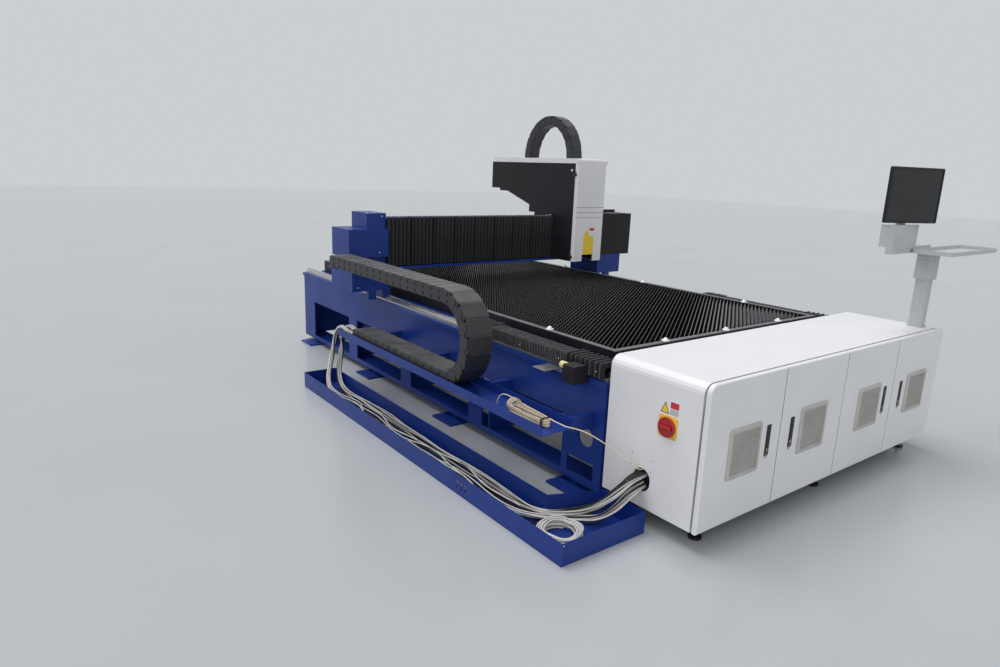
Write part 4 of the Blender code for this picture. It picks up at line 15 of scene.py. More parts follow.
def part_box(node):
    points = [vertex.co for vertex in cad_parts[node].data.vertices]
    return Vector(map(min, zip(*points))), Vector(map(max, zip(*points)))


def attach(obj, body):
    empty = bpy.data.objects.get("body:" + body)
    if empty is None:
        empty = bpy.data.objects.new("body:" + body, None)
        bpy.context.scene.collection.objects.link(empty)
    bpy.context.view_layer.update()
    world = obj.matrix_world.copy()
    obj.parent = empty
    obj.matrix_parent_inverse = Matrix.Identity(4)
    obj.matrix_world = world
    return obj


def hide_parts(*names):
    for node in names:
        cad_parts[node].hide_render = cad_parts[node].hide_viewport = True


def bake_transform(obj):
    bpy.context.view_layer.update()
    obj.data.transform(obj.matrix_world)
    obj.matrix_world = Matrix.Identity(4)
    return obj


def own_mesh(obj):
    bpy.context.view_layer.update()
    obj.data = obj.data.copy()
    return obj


bl_info = {
    "name": "Laser cutting machine looks",
    "version": (1, 0, 0),
    "blender": (4, 5, 0),
    "location": "View3D > Sidebar > Cutter",
    "description": "Dresses the packed laser cutting machine with its finishes and fine parts",
    "category": "Object",
}

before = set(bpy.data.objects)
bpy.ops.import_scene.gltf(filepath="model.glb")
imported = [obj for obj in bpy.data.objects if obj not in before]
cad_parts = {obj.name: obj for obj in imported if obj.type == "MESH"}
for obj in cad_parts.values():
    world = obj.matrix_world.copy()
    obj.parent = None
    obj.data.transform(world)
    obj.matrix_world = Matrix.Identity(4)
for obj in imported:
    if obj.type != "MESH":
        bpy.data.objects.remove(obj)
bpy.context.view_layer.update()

# The photograph's camera, solved in the model's frame
CAMERA_PLACE = Vector((-3.797, -1.851, 1.751))
CAMERA_RIGHT = Vector((0.80025394, -0.59846029, 0.03793298))
CAMERA_UP = Vector((0.10938603, 0.20788042, 0.97201874))
CAMERA_LENS = 24.556

# Lengths that the cables and the chains share with the solids
CABINET_FACE = -1.25
HOLE_Y = 0.256
HOLE_Z = 0.248
TROUGH_OUTER = 0.605
TROUGH_FLOOR = 0.0033
SHELF_FLOOR = 0.4903
SHELF_REAR = 2.92
CHAIN_X = -1.6075
CHAIN_WIDTH = 0.180
CHAIN_HEIGHT = 0.085
CHAIN_LOOP_Y = 1.4925
CHAIN_FIXED_Y = 2.70
CHAIN_MOVING_Y = 3.095
CHAIN_RADIUS = 0.25
CHAIN_DUST = 0.42
CHAIN_WALL = 0.011
ARCH_LID_STRETCH = 1.13
BUNDLE_TURN = 0.16
BUNDLE_POINTS = 40
COIL_CENTRE = (-1.68, 0.375)
COIL_CABLE = 0.0080
COIL_LAYERS = 5
COIL_COLUMNS = 3
COIL_TURN_POINTS = 14
HANK_Y = 0.74
HANK_TURNS = 7
HANK_TURN_POINTS = 16
HANK_WRAPS = 3
HANK_POINTS = 460
HANK_SMOOTHINGS = 6
LEAD_POINTS = 14
# The hank's free end, from the hank's middle on the shelf
HANK_END = ((0.040, 0.168, 0.046), (0.032, 0.188, 0.050), (0.016, 0.210, 0.064),
            (0.003, 0.232, 0.070), (-0.006, 0.252, 0.060), (-0.010, 0.264, 0.040),
            (-0.011, 0.269, 0.018), (-0.012, 0.270, 0.002))

# Lengths of the fine parts
PROUD = 0.0001
WELD = 0.00001
SLAT_MARGIN = 0.02
SLAT_THICKNESS = 0.003
COMB_X = (-0.975, 0.0, 0.975)
COMB_HALF = 0.003
COMB_HEIGHT = 0.06
BORDER_TOP = 0.800
BORDER_WIDTH = 0.036
BORDER_PLATE = 0.006
BALL_SIDE_X = 1.03
BALL_FRONT_Y = 0.708
COVER_TOP = 0.788
COVER_DROP = 0.022
COVER_DEPTH = 0.030
BEAM_DROP = 0.015
BEAM_SOFT = 0.006
FILTER_DEPTH = 0.012
FILTER_BORDER = 0.022
BEZEL_WIDTH = 0.0055
SEAL_WIDTH = 0.0010
KNOB_GRIP = 0.037
LABEL_GAP = 0.004
HINGE_BLACK = (0.010, 0.010, 0.011, 1.0)

# Name, direction, spread in degrees and strength of each lamp
LAMPS = (("ceiling_light", (0.10, -0.34, -1.0), 46.0, 2.15),
         ("side_light", (0.85, 0.20, -0.50), 70.0, 0.85),
         ("front_light", (0.20, 0.90, -0.45), 90.0, 0.80))

BLACK_ROUTE_SHARES = ((0.083, 0.002, 0.96), (0.198, 0.026, 0.73), (0.281, 0.122, 0.386),
                      (0.334, 0.271, 0.104), (0.413, 0.362, 0.0), (0.512, 0.428, 0.0),
                      (0.628, 0.544, 0.0), (0.678, 0.734, 0.0), (0.678, 1.064, 0.0))
GREY_ROUTE_SHARES = ((0.083, 0.0, 0.934), (0.185, 0.02, 0.656), (0.256, 0.073, 0.327),
                     (0.331, 0.172, 0.074), (0.413, 0.268, 0.0), (0.512, 0.330, 0.0),
                     (0.620, 0.428, 0.0), (0.744, 0.536, 0.0), (0.818, 0.734, 0.0),
                     (0.843, 0.998, 0.0))
RISE_ROUTE_SHARES = ((0.0, -2.5, 0.0), (0.0, -0.6, 0.0), (0.1, 0.7, 0.09), (0.55, 1.35, 0.34),
                     (0.95, 1.55, 0.66), (1.0, 1.15, 0.93), (1.0, 0.5, 1.03), (1.0, -0.2, 1.0))
GROOVE_SHARES = (0.452, 0.506, 0.558)
LEAD_ROUTE_SHARES = ((0.12, 0.18, -0.01), (0.35, 0.38, 0.12), (0.62, 0.63, 0.45),
                     (0.85, 0.87, 0.84), (0.96, 0.98, 0.99))


class CutterSizes(bpy.types.PropertyGroup):
    """Sizes of the parts that repeat."""

    slat_pitch: FloatProperty(name="Slat pitch", description="Distance between two slats",
                              default=0.032, min=0.02, max=0.1, unit="LENGTH")
    slat_teeth: IntProperty(name="Teeth per slat", description="Teeth along one slat",
                            default=43, min=10, max=80)
    tooth_depth: FloatProperty(name="Tooth depth", description="Height of a slat's teeth",
                               default=0.048, min=0.01, max=0.08, unit="LENGTH")
    link_pitch: FloatProperty(name="Link pitch", description="Length of a drag chain link",
                              default=0.092, min=0.05, max=0.15, unit="LENGTH")
    beam_pleats: IntProperty(name="Beam pleats", description="Folds of the beam's long cover",
                             default=50, min=10, max=120)
    louvres: IntProperty(name="Louvres", description="Blades in a fan filter",
                         default=17, min=6, max=30)
    filter_ribs: IntProperty(name="Filter ribs", description="Upright ribs in a fan filter",
                             default=13, min=4, max=24)
    black_cable: FloatProperty(name="Black cable", description="Diameter of a black cable",
                               default=0.0095, min=0.004, max=0.02, unit="LENGTH")
    grey_cable: FloatProperty(name="Grey cable", description="Diameter of a grey cable",
                              default=0.0080, min=0.004, max=0.02, unit="LENGTH")
    cream_cable: FloatProperty(name="Cream cable", description="Diameter of the hank's cable",
                               default=0.006, min=0.003, max=0.012, unit="LENGTH")


class CutterColours(bpy.types.PropertyGroup):
    """Main colours of the machine."""

    white: FloatVectorProperty(name="White enamel", description="Cabinet, doors and head covers",
                               default=(0.80, 0.80, 0.82), min=0, max=1, size=3, subtype="COLOR")
    blue: FloatVectorProperty(name="Blue enamel", description="Bed, gantry, shelf and trough",
                              default=(0.009, 0.036, 0.240), min=0, max=1, size=3, subtype="COLOR")
    black: FloatVectorProperty(name="Black enamel", description="Head housing and end box",
                               default=(0.012, 0.011, 0.014), min=0, max=1, size=3, subtype="COLOR")
    cloth: FloatVectorProperty(name="Bellows cloth", description="Way covers and beam covers",
                               default=(0.007, 0.007, 0.009), min=0, max=1, size=3, subtype="COLOR")
    chain: FloatVectorProperty(name="Chain plastic", description="Drag chains",
                               default=(0.020, 0.020, 0.023), min=0, max=1, size=3, subtype="COLOR")
    filter_grey: FloatVectorProperty(name="Filter plastic", description="Fan filters",
                                     default=(0.50, 0.50, 0.48), min=0, max=1, size=3,
                                     subtype="COLOR")
    switch_red: FloatVectorProperty(name="Switch red", description="Main switch handle",
                                    default=(0.40, 0.010, 0.014), min=0, max=1, size=3,
                                    subtype="COLOR")
    switch_yellow: FloatVectorProperty(name="Switch yellow", description="Main switch plate",
                                       default=(0.85, 0.50, 0.01), min=0, max=1, size=3,
                                       subtype="COLOR")

def look(colour, worn, rough, patch, relief, metallic=0.0, stretch=(1, 1, 1), coat=0.0,
         gloss=0.45):
    """A finish: its colour, or the setting that holds it; its worn colour; roughness from and
    to; scale and amount of its patches; scale and depth of its relief."""
    return colour, worn, rough, patch, relief, metallic, stretch, coat, gloss


def label_look(colour, worn):
    """The finish of a printed field."""
    return look(colour, worn, (0.30, 0.42), (25.0, 0.4), (700.0, 0.00003), coat=0.2)


FINISHES = {
    "white_enamel": look("white", (0.72, 0.72, 0.73), (0.30, 0.42), (3.0, 0.45),
                         (420.0, 0.00012), coat=0.15),
    "blue_enamel": look("blue", (0.011, 0.033, 0.185), (0.30, 0.48), (2.2, 0.75),
                        (300.0, 0.00018), coat=0.04, gloss=0.28),
    "black_enamel": look("black", (0.020, 0.018, 0.023), (0.38, 0.55), (4.0, 0.7),
                         (500.0, 0.00014), gloss=0.22),
    "grey_enamel": look((0.50, 0.51, 0.52), (0.42, 0.43, 0.44), (0.32, 0.45), (5.0, 0.5),
                        (420.0, 0.00010), coat=0.1),
    "black_plastic": look((0.011, 0.011, 0.013), (0.022, 0.022, 0.024), (0.36, 0.52),
                          (14.0, 0.5), (700.0, 0.00010), gloss=0.28),
    "machined_steel": look((0.62, 0.62, 0.61), (0.40, 0.39, 0.37), (0.24, 0.42), (7.0, 0.6),
                           (120.0, 0.00012), 1.0, (14.0, 0.6, 6.0)),
    "border_steel": look((0.17, 0.17, 0.175), (0.09, 0.09, 0.09), (0.48, 0.68), (9.0, 0.8),
                         (260.0, 0.00014), 0.25, (3.0, 0.8, 3.0)),
    "zinc_plate": look((0.60, 0.60, 0.58), (0.44, 0.43, 0.40), (0.30, 0.50), (18.0, 0.6),
                       (300.0, 0.00010), 1.0),
    "screw_zinc": look((0.66, 0.66, 0.65), (0.44, 0.44, 0.44), (0.22, 0.38), (60.0, 0.5),
                       (900.0, 0.00005), 1.0),
    "key_grey": look((0.36, 0.36, 0.37), (0.26, 0.26, 0.27), (0.30, 0.42), (60.0, 0.5),
                     (700.0, 0.00004), 0.3),
    "ball_white": look((0.82, 0.82, 0.82), (0.62, 0.62, 0.62), (0.18, 0.30), (40.0, 0.4),
                       (600.0, 0.00004), 0.15, coat=0.3),
    "chain_plastic": look("chain", (0.032, 0.032, 0.035), (0.40, 0.58), (9.0, 0.7),
                          (260.0, 0.00020)),
    "light_plastic": look("filter_grey", (0.40, 0.39, 0.36), (0.42, 0.58), (12.0, 0.5),
                          (500.0, 0.00008)),
    "filter_mat": look((0.13, 0.13, 0.13), (0.05, 0.05, 0.05), (0.85, 0.95), (60.0, 0.9),
                       (900.0, 0.00060), gloss=0.1),
    "red_plastic": look("switch_red", (0.30, 0.009, 0.012), (0.22, 0.34), (20.0, 0.5),
                        (500.0, 0.00005), coat=0.3),
    "yellow_plastic": look("switch_yellow", (0.70, 0.40, 0.01), (0.28, 0.40), (20.0, 0.5),
                           (500.0, 0.00005), coat=0.2),
    "label_yellow": label_look((0.88, 0.62, 0.02), (0.80, 0.55, 0.03)),
    "label_white": label_look((0.80, 0.80, 0.80), (0.72, 0.72, 0.70)),
    "label_red": label_look((0.62, 0.02, 0.03), (0.50, 0.02, 0.03)),
    "buffer_rubber": look((0.72, 0.70, 0.32), (0.60, 0.58, 0.28), (0.45, 0.60), (30.0, 0.6),
                          (300.0, 0.00010)),
    "cable_black": look((0.016, 0.016, 0.018), (0.040, 0.040, 0.042), (0.36, 0.55),
                        (20.0, 0.6), (500.0, 0.00010), gloss=0.25),
    "cable_grey": look((0.42, 0.41, 0.39), (0.28, 0.27, 0.26), (0.36, 0.52), (12.0, 0.6),
                       (500.0, 0.00008)),
    "cable_white": look((0.70, 0.69, 0.66), (0.52, 0.51, 0.48), (0.34, 0.50), (12.0, 0.5),
                        (500.0, 0.00008)),
    "cable_peach": look((0.72, 0.36, 0.18), (0.55, 0.28, 0.15), (0.36, 0.50), (12.0, 0.5),
                        (500.0, 0.00008)),
    "cable_cream": look((0.74, 0.62, 0.44), (0.60, 0.50, 0.36), (0.36, 0.50), (15.0, 0.5),
                        (500.0, 0.00008)),
    # Lighter grey for the beads on the covers' fold ridges: a painted highlight.
    "bead_grey": look((0.16, 0.16, 0.17), (0.07, 0.07, 0.075), (0.30, 0.45), (40.0, 0.8),
                      (500.0, 0.00005)),
    # Dark grey for the strips in the head's grooves: painted shade.
    "groove_grey": look((0.16, 0.16, 0.17), (0.12, 0.12, 0.13), (0.45, 0.60), (20.0, 0.5),
                        (500.0, 0.00005)),
    "screen_glass": look((0.010, 0.010, 0.012), (0.016, 0.016, 0.018), (0.10, 0.22),
                         (6.0, 0.6), (200.0, 0.00001)),
}

# Which finish each solid keeps
SOLID_FINISHES = {
    "white_enamel": ("cabinet_shell", "door_1", "door_2", "door_3", "door_4", "head_top_cover",
                     "head_front_cover"),
    "blue_enamel": ("bed_frame", "chain_shelf", "cable_trough", "gantry_frame",
                    "drive_cover_left", "carriage_frame"),
    "black_enamel": ("cabinet_base", "control_chassis", "stop_left", "stop_right", "y_drive_left",
                     "y_drive_right", "end_box_right", "head_side_cover"),
    "grey_enamel": ("laser_source", "monitor_column", "monitor_bracket", "keyboard_tray"),
    "black_plastic": ("servo_drives", "monitor"),
    "machined_steel": ("rail_way_left", "rail_way_right", "z_slide"),
    "zinc_plate": ("mounting_panel", "limit_plate", "cutting_head"),
    "buffer_rubber": ("buffer_left", "buffer_right"),
}

def socket(tree, name, kind, way="INPUT", value=None):
    """A named socket of a node group."""
    made = tree.interface.new_socket(name, in_out=way, socket_type=kind)
    if value is not None:
        made.default_value = value


def feed(tree, target, value):
    """Link an output to an input, or set the input's constant."""
    if isinstance(value, bpy.types.NodeSocket):
        tree.links.new(value, target)
    else:
        target.default_value = value


def add_node(tree, kind, settings=(), *inputs, **named):
    """A node with its settings, and its inputs by place or by name."""
    node = tree.nodes.new(kind)
    for name, value in settings:
        setattr(node, name, value)
    for i, value in enumerate(inputs):
        feed(tree, node.inputs[i], value)
    for name, value in named.items():
        feed(tree, node.inputs[name.replace("_", " ")], value)
    return node


def maths(tree, operation, *values):
    """The result of a maths node."""
    node = add_node(tree, "ShaderNodeMath", [("operation", operation)], *values)
    return node.outputs["Value"]


def mixed(tree, share, first, second):
    """Two colours mixed by a share."""
    node = add_node(tree, "ShaderNodeMix", [("data_type", "RGBA")], Factor=share, A=first,
                    B=second)
    return node.outputs["Result"]


def noise(tree, vector, scale, detail, **named):
    """Cloudy values."""
    node = add_node(tree, "ShaderNodeTexNoise", Vector=vector, Scale=scale, Detail=detail, **named)
    return node.outputs["Fac"]


def ranged(tree, value, low, high, **named):
    """How far a value lies between two limits."""
    node = add_node(tree, "ShaderNodeMapRange", Value=value, From_Min=low, From_Max=high, **named)
    return node.outputs["Result"]


def part_of(tree, vector, axis):
    """One part of a vector."""
    return add_node(tree, "ShaderNodeSeparateXYZ", Vector=vector).outputs[axis]


def bumped(tree, height, strength, distance):
    """The normal of a small relief."""
    node = add_node(tree, "ShaderNodeBump", Height=height, Strength=strength, Distance=distance)
    return node.outputs["Normal"]


def uneven_nodes(tree, given):
    """Patches of a worn colour and roughness over a finish."""
    cloud = noise(tree, given["Vector"], given["Scale"], 6.0, Roughness=0.62)
    share = ranged(tree, cloud, 0.38, 0.68, To_Max=given["Amount"])
    rough = add_node(tree, "ShaderNodeMix", Factor=share, A=given["Roughness"],
                     B=given["Worn Roughness"])
    return mixed(tree, share, given["Colour"], given["Worn Colour"]), rough.outputs["Result"]


def relief_nodes(tree, given):
    """A fine grain over a slow waviness, as height."""
    grain = noise(tree, given["Vector"], given["Scale"], 3.0)
    return (maths(tree, "MULTIPLY_ADD", noise(tree, given["Vector"], 6.0, 2.0), 0.5, grain),)


def dust_nodes(tree, given):
    """A thin pale film where a surface faces up."""
    up = ranged(tree, part_of(tree, given["Normal"], "Z"), 0.55, 0.98, To_Max=given["Amount"])
    much = maths(tree, "MULTIPLY", up, noise(tree, given["Vector"], 9.0, 8.0))
    return (mixed(tree, much, given["Colour"], given["Dust"]),)


COLOUR, NUMBER, VECTOR = "NodeSocketColor", "NodeSocketFloat", "NodeSocketVector"
GEOMETRY = "NodeSocketGeometry"
# Shared shader groups: the function of their nodes, inputs with defaults, and outputs
GROUPS = {
    "uneven_finish": (uneven_nodes, (
        ("Vector", VECTOR, None), ("Colour", COLOUR, None), ("Worn Colour", COLOUR, None),
        ("Roughness", NUMBER, 0.4), ("Worn Roughness", NUMBER, 0.5), ("Scale", NUMBER, 5.0),
        ("Amount", NUMBER, 0.5)), (("Colour", COLOUR), ("Roughness", NUMBER))),
    "fine_relief": (relief_nodes, (("Vector", VECTOR, None), ("Scale", NUMBER, 300.0)),
                    (("Height", NUMBER),)),
    "settled_dust": (dust_nodes, (
        ("Vector", VECTOR, None), ("Normal", VECTOR, None), ("Colour", COLOUR, None),
        ("Dust", COLOUR, (0.35, 0.35, 0.34, 1.0)), ("Amount", NUMBER, 0.2)),
                     (("Colour", COLOUR),)),
}


def placed(tree, name, **named):
    """The outputs of a shared shader group, placed in a material."""
    group = bpy.data.node_groups.get(name)
    if not group:
        group = bpy.data.node_groups.new(name, "ShaderNodeTree")
        build, inputs, outputs = GROUPS[name]
        for label, kind, value in inputs:
            socket(group, label, kind, value=value)
        for label, kind in outputs:
            socket(group, label, kind, "OUTPUT")
        made = build(group, group.nodes.new("NodeGroupInput").outputs)
        add_node(group, "NodeGroupOutput", (), *made)
    return add_node(tree, "ShaderNodeGroup", [("node_tree", group)], **named).outputs


def shared_colour(value):
    """A colour of the table, or the user's colour that it names."""
    if isinstance(value, str):
        value = getattr(bpy.context.scene.cutter_colours, value)
    return (*value, 1.0)


def material_of(name, build, *facts):
    """A material, made once, whose shader takes what the function of its nodes gives."""
    material = bpy.data.materials.get(name)
    if not material:
        material = bpy.data.materials.new(name)
        material.use_nodes = True
        tree = material.node_tree
        place = tree.nodes.new("ShaderNodeTexCoord").outputs["Object"]
        for label, value in build(tree, place, *facts).items():
            feed(tree, tree.nodes["Principled BSDF"].inputs[label], value)
    return material


def stretched(tree, place, stretch):
    """Coordinates stretched along the axes."""
    return add_node(tree, "ShaderNodeMapping", Vector=place, Scale=stretch).outputs["Vector"]


def finish_nodes(tree, place, name, dust):
    """Worn patches, grain and dust of a finish."""
    colour, worn, rough, patch, relief, metallic, stretch, coat, gloss = FINISHES[name]
    vector = stretched(tree, place, stretch)
    patches = placed(tree, "uneven_finish", Vector=vector, Colour=shared_colour(colour),
                     Worn_Colour=shared_colour(worn), Roughness=rough[0],
                     Worn_Roughness=rough[1], Scale=patch[0], Amount=patch[1])
    shown = patches["Colour"]
    if dust:
        normal = tree.nodes.new("ShaderNodeNewGeometry").outputs["Normal"]
        shown = placed(tree, "settled_dust", Vector=place, Normal=normal, Colour=shown,
                       Amount=dust)["Colour"]
    height = placed(tree, "fine_relief", Vector=vector, Scale=relief[0])["Height"]
    return {"Base Color": shown, "Roughness": patches["Roughness"],
            "Normal": bumped(tree, height, 0.6, relief[1]), "Metallic": metallic,
            "Coat Weight": coat, "Coat Roughness": 0.25, "Specular IOR Level": gloss}


def finish(name, dust=0.0):
    """The material of a finish, plain or with dust on its upper sides."""
    return material_of("cutter_" + name + ("_dusty" if dust else ""), finish_nodes, name, dust)


def slat_nodes(tree, place, face, edge):
    """Steel whose cut edges are brighter than the faces that look along Y: partly bare cut steel,
    partly a painted highlight on the edges.
    """
    normal = tree.nodes.new("ShaderNodeNewGeometry").outputs["Normal"]
    along = maths(tree, "ABSOLUTE", part_of(tree, normal, "Y"))
    share = ranged(tree, along, 0.30, 0.80, To_Min=1.0, To_Max=0.0)
    patches = placed(tree, "uneven_finish", Vector=place, Colour=(*face, 1.0),
                     Worn_Colour=(*[v * 2.2 for v in face], 1.0), Roughness=0.40,
                     Worn_Roughness=0.55, Scale=20.0, Amount=0.8)
    height = placed(tree, "fine_relief", Vector=place, Scale=350.0)["Height"]
    return {"Base Color": mixed(tree, share, patches["Colour"], (*edge, 1.0)),
            "Roughness": patches["Roughness"], "Normal": bumped(tree, height, 0.5, 0.0002),
            "Metallic": 0.6}


def cloth_nodes(tree, place, stretch):
    """Coated cloth with a fine weave and a soft sheen on its folds."""
    patches = placed(tree, "uneven_finish", Vector=stretched(tree, place, stretch),
                     Colour=shared_colour("cloth"), Worn_Colour=(0.014, 0.014, 0.017, 1.0),
                     Roughness=0.46, Worn_Roughness=0.62, Scale=7.0, Amount=0.9)
    weave = add_node(tree, "ShaderNodeTexWave", [("bands_direction", "Z")], Vector=place,
                     Scale=260.0, Distortion=1.5).outputs["Fac"]
    return {"Base Color": patches["Colour"], "Roughness": patches["Roughness"],
            "Normal": bumped(tree, weave, 0.35, 0.0004), "Specular IOR Level": 0.25}


def front_cover_nodes(tree, place, side):
    """White enamel, and black on the hinge leaves beyond the head's side."""
    values = finish_nodes(tree, place, "white_enamel", 0.0)
    beyond = maths(tree, "LESS_THAN", part_of(tree, place, "X"), side)
    values["Base Color"] = mixed(tree, beyond, values["Base Color"], HINGE_BLACK)
    return values


def floor_nodes(tree, place):
    """Pale floor paint with a faint gloss."""
    patches = placed(tree, "uneven_finish", Vector=place, Colour=(0.44, 0.46, 0.475, 1.0),
                     Worn_Colour=(0.40, 0.42, 0.435, 1.0), Roughness=0.22, Worn_Roughness=0.34,
                     Scale=0.7)
    return {"Base Color": patches["Colour"], "Roughness": patches["Roughness"]}


def solid_mesh(name, bm, smooth=False, sharp=35.0):
    """A linked object from a bmesh, with its faces turned outwards."""
    bmesh.ops.recalc_face_normals(bm, faces=bm.faces)
    mesh = bpy.data.meshes.new(name)
    bm.to_mesh(mesh)
    bm.free()
    if smooth:
        mesh.shade_smooth()
        mesh.set_sharp_from_angle(angle=math.radians(sharp))
    obj = bpy.data.objects.new(name, mesh)
    bpy.context.scene.collection.objects.link(obj)
    return obj


def painted(obj, material):
    """Give an object one material alone."""
    obj.data.materials.clear()
    obj.data.materials.append(material)


def dress(obj, material, body, slot, *nodes):
    """Give a finished piece its material and body, and hide the solids that it stands for; the slot
    is not used.
    """
    painted(obj, material)
    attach(obj, body)
    if nodes:
        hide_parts(*nodes)
    return obj


def add_prism(bm, outline, axis, start, end):
    """Sweep a flat outline along X, Y or Z into a bmesh."""
    place = {
        "X": lambda u, v, w: (w, u, v),
        "Y": lambda u, v, w: (u, w, v),
        "Z": lambda u, v, w: (u, v, w),
    }[axis]
    low = [bm.verts.new(place(u, v, start)) for u, v in outline]
    high = [bm.verts.new(place(u, v, end)) for u, v in outline]
    bm.faces.new(low)
    bm.faces.new(high[::-1])
    for i in range(len(outline)):
        j = (i + 1) % len(outline)
        bm.faces.new((low[j], low[i], high[i], high[j]))
    return bm


def add_block(bm, x0, x1, y0, y1, z0, z1):
    """A rectangular solid in a bmesh."""
    return add_prism(bm, [(x0, y0), (x1, y0), (x1, y1), (x0, y1)], "Z", z0, z1)


def add_loft(bm, rings, caps=True):
    """Join rings of equal counts into a closed skin."""
    loops = [[bm.verts.new(point) for point in ring] for ring in rings]
    count = len(loops[0])
    for near, far in zip(loops, loops[1:]):
        for i in range(count):
            j = (i + 1) % count
            bm.faces.new((near[i], near[j], far[j], far[i]))
    if caps:
        bm.faces.new(loops[0][::-1])
        bm.faces.new(loops[-1])
    return bm


def hoop(rings):
    """A skin through rings and back to the first of them."""
    bm = add_loft(bmesh.new(), rings + [rings[0]], caps=False)
    bmesh.ops.remove_doubles(bm, verts=bm.verts, dist=WELD)
    return bm


def add_turned(bm, axis, centre, profile, sides):
    """Turn (radius, height) pairs about an axis through a centre."""
    index = "XYZ".index(axis)
    rings = []
    for radius, along in profile:
        ring = []
        for i in range(sides):
            angle = math.tau * i / sides
            point = [radius * math.cos(angle), radius * math.sin(angle)]
            point.insert(index, along)
            ring.append(Vector(point) + Vector(centre))
        rings.append(ring)
    return add_loft(bm, rings)


def rounded(u0, u1, v0, v1, radius, steps=4):
    """A rectangle with round corners."""
    outline = []
    for u, v, first in ((u0 + radius, v0 + radius, 180), (u1 - radius, v0 + radius, 270),
                        (u1 - radius, v1 - radius, 0), (u0 + radius, v1 - radius, 90)):
        for i in range(steps + 1):
            angle = math.radians(first + 90 * i / steps)
            outline.append((u + radius * math.cos(angle), v + radius * math.sin(angle)))
    return outline


def soften(obj, width, segments=2):
    """Round the edges of a mesh for good."""
    modifier = obj.modifiers.new("soft edge", "BEVEL")
    modifier.width = width
    modifier.segments = segments
    modifier.limit_method = "ANGLE"
    bake_modifiers(obj)
    obj.data.shade_smooth()
    obj.data.set_sharp_from_angle(angle=math.radians(40))
    return obj


def bake_modifiers(obj):
    """Turn an object's modifiers into its mesh."""
    depsgraph = bpy.context.evaluated_depsgraph_get()
    mesh = bpy.data.meshes.new_from_object(obj.evaluated_get(depsgraph), depsgraph=depsgraph)
    obj.modifiers.clear()
    obj.data = mesh
    return obj


def parts_tree(name, inputs, points):
    """A node tree that puts copies of a part on points, made once, with its named inputs."""
    tree = bpy.data.node_groups.get(name)
    if tree:
        return tree
    tree = bpy.data.node_groups.new(name, "GeometryNodeTree")
    for label, kind in (("Geometry", GEOMETRY), ("Part", "NodeSocketObject"),
                        ("Finish", "NodeSocketMaterial"), *inputs):
        socket(tree, label, kind)
    socket(tree, "Geometry", GEOMETRY, "OUTPUT")
    given = tree.nodes.new("NodeGroupInput").outputs
    part = add_node(tree, "GeometryNodeObjectInfo", Object=given["Part"])
    put = add_node(tree, "GeometryNodeInstanceOnPoints", Instance=part.outputs["Geometry"],
                   **points(tree, given))
    real = add_node(tree, "GeometryNodeRealizeInstances", Geometry=put.outputs["Instances"])
    paint = add_node(tree, "GeometryNodeSetMaterial", Geometry=real.outputs["Geometry"],
                     Material=given["Finish"])
    add_node(tree, "NodeGroupOutput", Geometry=paint.outputs["Geometry"])
    return tree


def row_points(tree, given):
    """Points in an even row."""
    line = add_node(tree, "GeometryNodeMeshLine", [("mode", "OFFSET")], Count=given["Count"],
                    Start_Location=given["Start"], Offset=given["Step"])
    return {"Points": line.outputs["Mesh"]}


def turned_points(tree, given):
    """The given points, each turned by its own angles."""
    turn = add_node(tree, "GeometryNodeInputNamedAttribute", [("data_type", "FLOAT_VECTOR")],
                    Name="turn")
    angles = add_node(tree, "FunctionNodeEulerToRotation", Euler=turn.outputs["Attribute"])
    return {"Points": given["Geometry"], "Rotation": angles.outputs["Rotation"]}


def grow(name, tree, part, material, points=(), **values):
    """Run a node tree and keep its result as a plain mesh."""
    mesh = bpy.data.meshes.new(name)
    mesh.from_pydata([place for place, _ in points], [], [])
    if points:
        turn = mesh.attributes.new("turn", "FLOAT_VECTOR", "POINT")
        turn.data.foreach_set("vector", [v for _, angles in points for v in angles])
    obj = bpy.data.objects.new(name, mesh)
    bpy.context.scene.collection.objects.link(obj)
    modifier = obj.modifiers.new("grow", "NODES")
    modifier.node_group = tree
    values = {"Part": part, "Finish": material, **values}
    for item in tree.interface.items_tree:
        if item.item_type == "SOCKET" and item.in_out == "INPUT" and item.name in values:
            modifier[item.identifier] = values[item.name]
    bake_modifiers(obj)
    bpy.data.objects.remove(part, do_unlink=True)
    return obj


def row_of(name, part, material, count, start, step):
    """A row of equal parts as one mesh."""
    tree = parts_tree("parts_in_a_row", (("Count", "NodeSocketInt"), ("Start", VECTOR),
                                         ("Step", VECTOR)), row_points)
    return grow(name, tree, part, material, Count=count, Start=start, Step=step)


def placed_parts(name, part, material, points):
    """Equal parts on (place, angles) pairs as one mesh."""
    tree = parts_tree("parts_on_places", (), turned_points)
    return grow(name, tree, part, material, points=points)


def joined(name, *objects):
    """Several meshes as one object; materials stay on their faces."""
    bm = bmesh.new()
    materials = []
    for obj in objects:
        first = len(bm.faces)
        bm.from_mesh(obj.data)
        bm.faces.ensure_lookup_table()
        slots = []
        for material in obj.data.materials:
            if material not in materials:
                materials.append(material)
            slots.append(materials.index(material))
        for face in bm.faces[first:]:
            face.material_index = slots[face.material_index] if slots else 0
        bpy.data.objects.remove(obj, do_unlink=True)
    mesh = bpy.data.meshes.new(name)
    bm.to_mesh(mesh)
    bm.free()
    for material in materials:
        mesh.materials.append(material)
    made = bpy.data.objects.new(name, mesh)
    bpy.context.scene.collection.objects.link(made)
    return made


def screw_part(radius, height):
    """A dome-headed screw with a hexagon socket, standing on Z 0."""
    bm = bmesh.new()
    profile = [(radius, 0.0), (radius, height * 0.35), (radius * 0.86, height * 0.75),
               (radius * 0.55, height), (radius * 0.42, height), (radius * 0.38, height * 0.45)]
    add_turned(bm, "Z", (0, 0, 0), profile, 12)
    return solid_mesh("screw", bm, smooth=True, sharp=50)


# The turn of a part that faces each way
FACING = {"-X": (0, -math.pi / 2, 0), "+X": (0, math.pi / 2, 0), "-Y": (math.pi / 2, 0, 0),
          "+Z": (0, 0, 0)}


